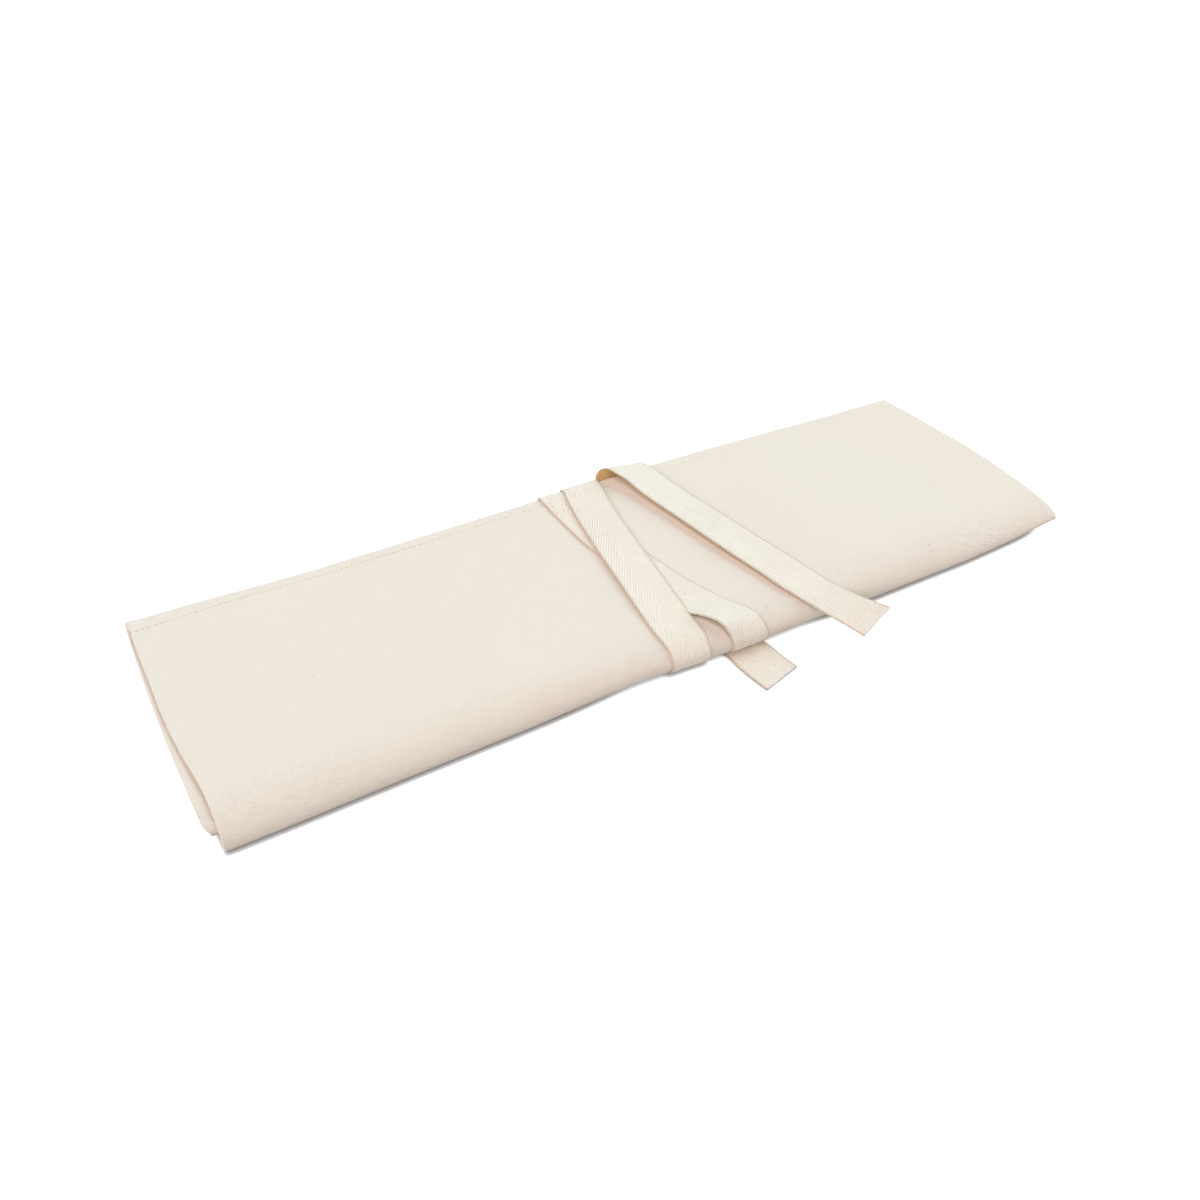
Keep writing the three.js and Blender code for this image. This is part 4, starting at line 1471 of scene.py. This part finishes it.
@dataclass
class Tape:
    """Cotton tape, sewn at its middle to the flap's hem and wound round the roll as two tails."""

    width: float = 30.0
    thick: float = 0.8
    step: float = 0.02
    strips: int = 14
    side_tilt: float = 0.16
    draw_in: float = 0.08
    join_rows: int = 16
    upper_slant: float = 4.5
    lower_slant: float = 3.4
    rim: float = 0.03
    draws_in_over: Span = (0.85, 1.2)
    lets_out_over: Span = (1.9, 2.4)
    end_steps: int = 42
    end_turns: Span = (0.05, 1.0)
    sewn_from: float = -0.03
    sewn_to: float = 0.118
    loop_to: float = 4.99
    upper_past_end: float = 9.0
    lower_past_end: float = -12.0
    hook_to: float = 0.1
    end_pressed_at: tuple[float, float, float] = (0.1, -0.0945, 0.019)
    end_pressed_to: float = 0.04
    tack_half: float = 11.0
    tack_over: Span = (0.012, 0.108)
    tack_turn: float = 0.05
    tack_points: int = 30
    tack_lift: float = 0.05
    anchor_lift: float = 0.1
    shop: Workshop = field(init=False)
    shape: RollShape = field(init=False)

    def build(self, shop: Workshop) -> None:
        """Make, dress and tie every stretch of the tape.

        Args:
            shop: Finishes and tools.
        """
        self.shop, self.shape = shop, shop.shape
        upper, upper_turn = self._tail(UPPER_KEYS, UPPER_END, self.upper_slant)
        lower, lower_turn = self._tail(LOWER_KEYS, LOWER_END, self.lower_slant)
        over = lambda name, low, high, motion: self._stretch(name, upper, upper_turn, low, high, motion)
        anchor, _ = over("tape_anchor_top", self.sewn_from, self.sewn_to, Motion.FLAP)
        first, first_line = over("tape_first_wrap", self.sewn_to, UNDER_BACK, Motion.FRONT_FOLD)
        loop, loop_line = over("tape_loop", UNDER_BACK, self.loop_to, Motion.FLAP)
        end, _ = over("tape_upper_end", self.loop_to, self.upper_past_end, Motion.FLAP)
        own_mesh(end)
        under = lambda name, low, high, motion: self._stretch(name, lower, lower_turn, low, high, motion)
        first_under, second_under = UNDER_BACK - LAP, UNDER_BACK - 2 * LAP
        hook, _ = under("tape_hem_hook", first_under, self.hook_to, Motion.FLAP)
        main, main_line = under("tape_main_wrap", -LAP, first_under, Motion.FRONT_FOLD)
        back, _ = under("tape_back_hook", second_under, -LAP, Motion.FLAP)
        tail, tail_line = under("tape_lower_end", self.lower_past_end, second_under, Motion.ROLL)
        tacked = shop.stitching.sew("anchor_stitches", self._tack_lines(), shop.thread)
        set_moving(tacked, Motion.FLAP)
        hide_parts("tape_anchor")
        for piece in (first, loop, end):
            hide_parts("tape_upper_tail")
        for piece in (hook, main, back, tail):
            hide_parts("tape_lower_tail")
        self._declare(first, first_line)
        self._declare(loop, loop_line)
        self._declare(main, main_line)
        self._declare(tail, tail_line[::-1])

    def _declare(self, piece: bpy.types.Object, line: Array) -> None:
        """Log the length of a stretch's middle line.

        Args:
            piece: The stretch.
            line: Its middle line in metres.
        """
        length = float(np.linalg.norm(np.diff(line, axis=0), axis=1).sum())
        LOG.info("%s: %.3f m", piece.name, length)

    def _tack_lines(self) -> list[Array]:
        """Lines of the boxed tack with its cross, on the sewn middle of the tape.

        Returns:
            Points of each line.
        """
        half, (back, front) = self.tack_half, self.tack_over
        middle = keyed(UPPER_KEYS, 1, np.array(self.tack_turn))
        corners = [(-half, back), (half, back), (half, front), (-half, front)]
        runs = [(0, 1), (1, 2), (2, 3), (3, 0), (0, 2), (1, 3)]
        lines = []
        for a, b in runs:
            share = np.linspace(0, 1, self.tack_points)
            x = middle + mix(corners[a][0], corners[b][0], share)
            turn = mix(corners[a][1], corners[b][1], share)
            lift = np.full_like(x, self.anchor_lift + self.thick + self.tack_lift)
            y, z = self.shape.outline(x, turn, lift)
            lines.append(np.stack([x, y, z], -1))
        return lines

    def _tail(self, keys: Keys, free_end: Keys, slant: float) -> tuple[Array, Array]:
        """Inner face of a whole tail, by strip and step, in the order of rising turns.

        Args:
            keys: Route of its winding.
            free_end: X, Y, Z and curl of the points of its free end.
            slant: How far its end is cut on the bias.

        Returns:
            Points and the turn of each step.
        """
        s = self.shape
        first, last = keys[0][0], keys[-1][0]
        sign = 1.0 if last > first else -1.0
        turns = np.concatenate([np.arange(first, last - sign * self.step / 2, sign * self.step), [last]])
        x, lift, lean = (keyed(keys, column, turns) for column in (1, 2, 3))
        lap = np.mod(turns, LAP)
        drawn = 1 - self.draw_in * ease(lap, *self.draws_in_over) * (1 - ease(lap, *self.lets_out_over))
        shifts = (spaced(self.strips, self.rim) - 0.5) * self.width
        wound = np.stack([x, *s.outline(x, turns, lift), -2 * lean / self.width], -1)
        end = self._free_end(wound[-3:], free_end)
        middle = np.concatenate([wound, end])[:, :3]
        run = unit(np.gradient(middle, axis=0))
        tilt = np.clip(run[:, :1], -self.side_tilt, self.side_tilt)
        side = unit(np.array([[1.0, 0.0, 0.0]]) - run * tilt)
        grid = middle[None] + side[None] * shifts[:, None, None]
        count = len(turns)
        grid[:, count:, 2] += end[None, :, 3] * shifts[:, None]
        off = shifts[:, None] * drawn[None]
        px = x[None] + side[None, :count, 0] * off
        leaning = lift[None] - 2 * lean[None] * off / self.width
        py, pz = s.outline(px, np.broadcast_to(turns, px.shape), leaning)
        lying = np.stack([px, py + side[None, :count, 1] * off, pz + side[None, :count, 2] * off], -1)
        leave = 1 - ease(np.arange(1, len(end) + 1), 0, self.join_rows)
        curl = end[None, :1, 3:] * np.array([0, 0, 1.0]) * shifts[:, None, None]
        straight = grid[:, count - 1:count] + curl
        grid[:, count:] += (lying[:, -1:] - straight) * leave[None, :, None]
        grid[:, :count] = lying
        share = np.concatenate([np.zeros(count), np.linspace(0, 1, len(end))])
        grid = grid + run[None] * (share[None, :, None] * -shifts[:, None, None] / self.width * slant)
        grid[:, count:, 2] = np.maximum(grid[:, count:, 2], self.thick)
        far = np.concatenate([turns, last + sign * np.linspace(*self.end_turns, len(end))])
        if sign < 0:
            return grid[:, ::-1], far[::-1]
        return grid, far

    def _free_end(self, lead: Array, points: Keys) -> Array:
        """Smooth run of a free end from the last points of the winding through its laid points.

        Args:
            lead: Last three points of the winding, with their curl.
            points: X, Y, Z and curl of the points of the free end.

        Returns:
            Points of the run, with their curl.
        """
        knots = np.concatenate([lead[-1:], np.array(points, float)])
        at = np.concatenate([[0], np.cumsum(np.linalg.norm(np.diff(knots[:, :3], axis=0), axis=1))])
        slope = np.gradient(knots, at, axis=0)
        slope[0, :3] = unit(lead[-1, :3] - lead[0, :3])
        fine = np.linspace(0, at[-1], self.end_steps)[1:]
        k = np.clip(np.searchsorted(at, fine) - 1, 0, len(at) - 2)
        span = (at[k + 1] - at[k])[:, None]
        t = ((fine - at[k]) / (at[k + 1] - at[k]))[:, None]
        a, b = knots[k], knots[k + 1]
        curve = (2 * t**3 - 3 * t**2 + 1) * a + (3 * t**2 - 2 * t**3) * b
        return curve + span * ((t**3 - 2 * t**2 + t) * slope[k] + (t**3 - t**2) * slope[k + 1])

    def _stretch(self, name: str, grid: Array, turns: Array, low: float, high: float,
                 motion: Motion) -> tuple[bpy.types.Object, Array]:
        """Make one stretch of a tail.

        Args:
            name: Name of the piece.
            grid: Inner face of the tail.
            turns: Turn of each step.
            low: Turn where the stretch starts.
            high: Turn where it ends.
            motion: How it moves.

        Returns:
            The piece and its middle line in metres.
        """
        first = int(np.argmin(np.abs(turns - low)))
        last = int(np.argmin(np.abs(turns - high)))
        steps = np.linalg.norm(np.diff(grid[self.strips // 2], axis=0), axis=1)
        along = np.concatenate([[0], np.cumsum(steps)])
        face = (grid + outward(grid) * self.thick)[:, first:last + 1]
        across = (spaced(self.strips, self.rim) * self.width)[:, None]
        run = along[None, first:last + 1]
        uv = np.stack(np.broadcast_arrays(across, run), -1) * MM
        depth = np.full(face.shape[:2], self.thick)
        square = (first > 0, last < len(turns) - 1)
        # Only the loop gets painted warm shade on its inner face.
        shaded = 1.0 if name == "tape_loop" else 0.0
        piece = Cloth(name, face, depth, uv, square, shaded).build(self.shop.tape)
        set_moving(piece, motion)
        middle = (face[self.strips // 2 + 1] + face[self.strips // 2 + 2]) / 2
        return piece, middle * MM


def seen_directly(b: NodeBoard) -> bpy.types.NodeSocket:
    """Put out 1 on rays from the camera, off a mirror or through glass, and 0 on the others.

    Args:
        b: Board of the tree.

    Returns:
        The socket.
    """
    ray = b.put("ShaderNodeLightPath")
    seen = b.sum("MAXIMUM", ray.outputs["Is Camera Ray"], ray.outputs["Is Glossy Ray"])
    return b.sum("MAXIMUM", seen, ray.outputs["Is Transmission Ray"])


@dataclass(frozen=True)
class Lamp:
    """A broad far lamp: where it shines from, its width in degrees, its power and its colour."""

    name: str
    shines_from: tuple[float, float, float]
    angle: float
    power: float
    colour: tuple[float, float, float]

    def hang(self, scene: bpy.types.Scene) -> None:
        """Put the lamp into the scene.

        Args:
            scene: Scene to light.
        """
        data = bpy.data.lights.new(self.name, "SUN")
        data.angle = math.radians(self.angle)
        data.energy = self.power
        data.color = self.colour
        lamp = bpy.data.objects.new(self.name, data)
        lamp.rotation_euler = (-Vector(self.shines_from)).to_track_quat("-Z", "Y").to_euler()
        scene.collection.objects.link(lamp)


@dataclass
class Studio:
    """Camera, lamps, surroundings and floor."""

    eye: tuple[float, float, float] = (-0.3014, -0.5183, 0.4914)
    target: tuple[float, float, float] = (-0.02326, -0.01231, 0.0)
    lens: float = 33.0
    sensor: float = 36.0
    lamps: tuple[Lamp, ...] = (
        Lamp("key", (0.86, 0.3, 0.42), 45.0, 2.45, (0.616, 0.924, 1.0)),
        Lamp("lift", (-0.53, -0.3, 0.8), 85.0, 2.13, (1.0, 0.85, 0.82)))
    fill: float = 0.27
    fill_colour: Colour = (1.0, 0.86, 0.82, 1.0)
    floor_colour: Colour = (0.72, 0.74, 0.74, 1.0)
    floor_seen: Colour = (0.58, 0.63, 0.66, 1.0)
    floor_glow: float = 0.74
    floor_nook: float = 0.0036
    floor_nook_power: float = 3.0
    floor_reach: float = 6.0
    floor_drop: float = 0.0003

    def build(self) -> None:
        """Set up the picture."""
        scene = bpy.context.scene
        scene.view_settings.view_transform = "Standard"
        self._camera(scene)
        for lamp in self.lamps:
            lamp.hang(scene)
        self._world(scene)
        self._floor(scene)

    def _camera(self, scene: bpy.types.Scene) -> None:
        """Camera at the photographed angle.

        Args:
            scene: Scene to put it in.
        """
        data = bpy.data.cameras.new("camera")
        data.lens = self.lens
        data.sensor_width = self.sensor
        data.sensor_fit = "HORIZONTAL"
        camera = bpy.data.objects.new("camera", data)
        camera.location = self.eye
        away = Vector(self.target) - Vector(self.eye)
        camera.rotation_euler = away.to_track_quat("-Z", "Y").to_euler()
        scene.collection.objects.link(camera)
        scene.camera = camera

    def _world(self, scene: bpy.types.Scene) -> None:
        """Even surroundings, white where they are seen or mirrored.

        Args:
            scene: Scene to put them round.
        """
        world = bpy.data.worlds.new("surroundings")
        world.use_nodes = True
        b = NodeBoard(world.node_tree)
        world.node_tree.nodes.clear()
        seen = seen_directly(b)
        strength = b.fit(seen, 0.0, 1.0, self.fill, 1.0)
        tone = b.tint(seen, self.fill_colour, (1, 1, 1, 1))
        sky = b.put("ShaderNodeBackground", {"Color": tone, "Strength": strength})
        b.put("ShaderNodeOutputWorld", {0: sky.outputs[0]})
        scene.world = world

    def _floor(self, scene: bpy.types.Scene) -> None:
        """Pale floor that keeps the roll's shadow, and a painted contact shadow where its glow is dimmed near
        the roll.

        Args:
            scene: Scene to put it in.
        """
        mesh = bpy.data.meshes.new("floor")
        reach = self.floor_reach
        corners = [(-reach, -reach, 0), (reach, -reach, 0), (reach, reach, 0), (-reach, reach, 0)]
        mesh.from_pydata(corners, [], [(0, 1, 2, 3)])
        material = bpy.data.materials.new("floor")
        material.use_nodes = True
        b = NodeBoard(material.node_tree)
        shader = material.node_tree.nodes["Principled BSDF"]
        shader.inputs["Roughness"].default_value = 1.0
        shader.inputs["Specular IOR Level"].default_value = 0.0
        shader.inputs["Emission Color"].default_value = (1, 1, 1, 1)
        seen = seen_directly(b)
        # Ambient occlusion dims the floor's glow next to the roll: a painted contact shadow, added to the
        # real shadow in its diffuse light.
        contact_occlusion = b.put("ShaderNodeAmbientOcclusion", {"Distance": self.floor_nook}, samples=8).outputs["AO"]
        glow_kept = b.sum("POWER", contact_occlusion, self.floor_nook_power)
        glow = b.sum("MULTIPLY", b.sum("MULTIPLY", seen, self.floor_glow), glow_kept)
        b.tree.links.new(glow, shader.inputs["Emission Strength"])
        b.tree.links.new(b.tint(seen, self.floor_colour, self.floor_seen), shader.inputs["Base Color"])
        mesh.materials.append(material)
        floor = bpy.data.objects.new("floor", mesh)
        floor.location.z = -self.floor_drop
        scene.collection.objects.link(floor)


def main() -> None:
    """Build the roll and its studio."""
    logging.basicConfig(level=logging.INFO, format="%(name)s: %(message)s")
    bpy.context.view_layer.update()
    Studio().build()
    groups = Groups()
    lining = CanvasFinish(name="pocket_canvas", colour=from_screen(234, 227, 211),
                          shade=from_screen(212, 201, 182))
    shop = Workshop(RollShape(), CanvasFinish().make(groups), lining.make(groups),
                    TapeFinish().make(groups), ThreadFinish().make(), Stitching())
    Tape().build(shop)
    Cover().build(shop)
    Bundle().build(shop)
    PocketPanel().build(shop)
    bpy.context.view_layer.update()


if __name__ == "__main__":
    main()
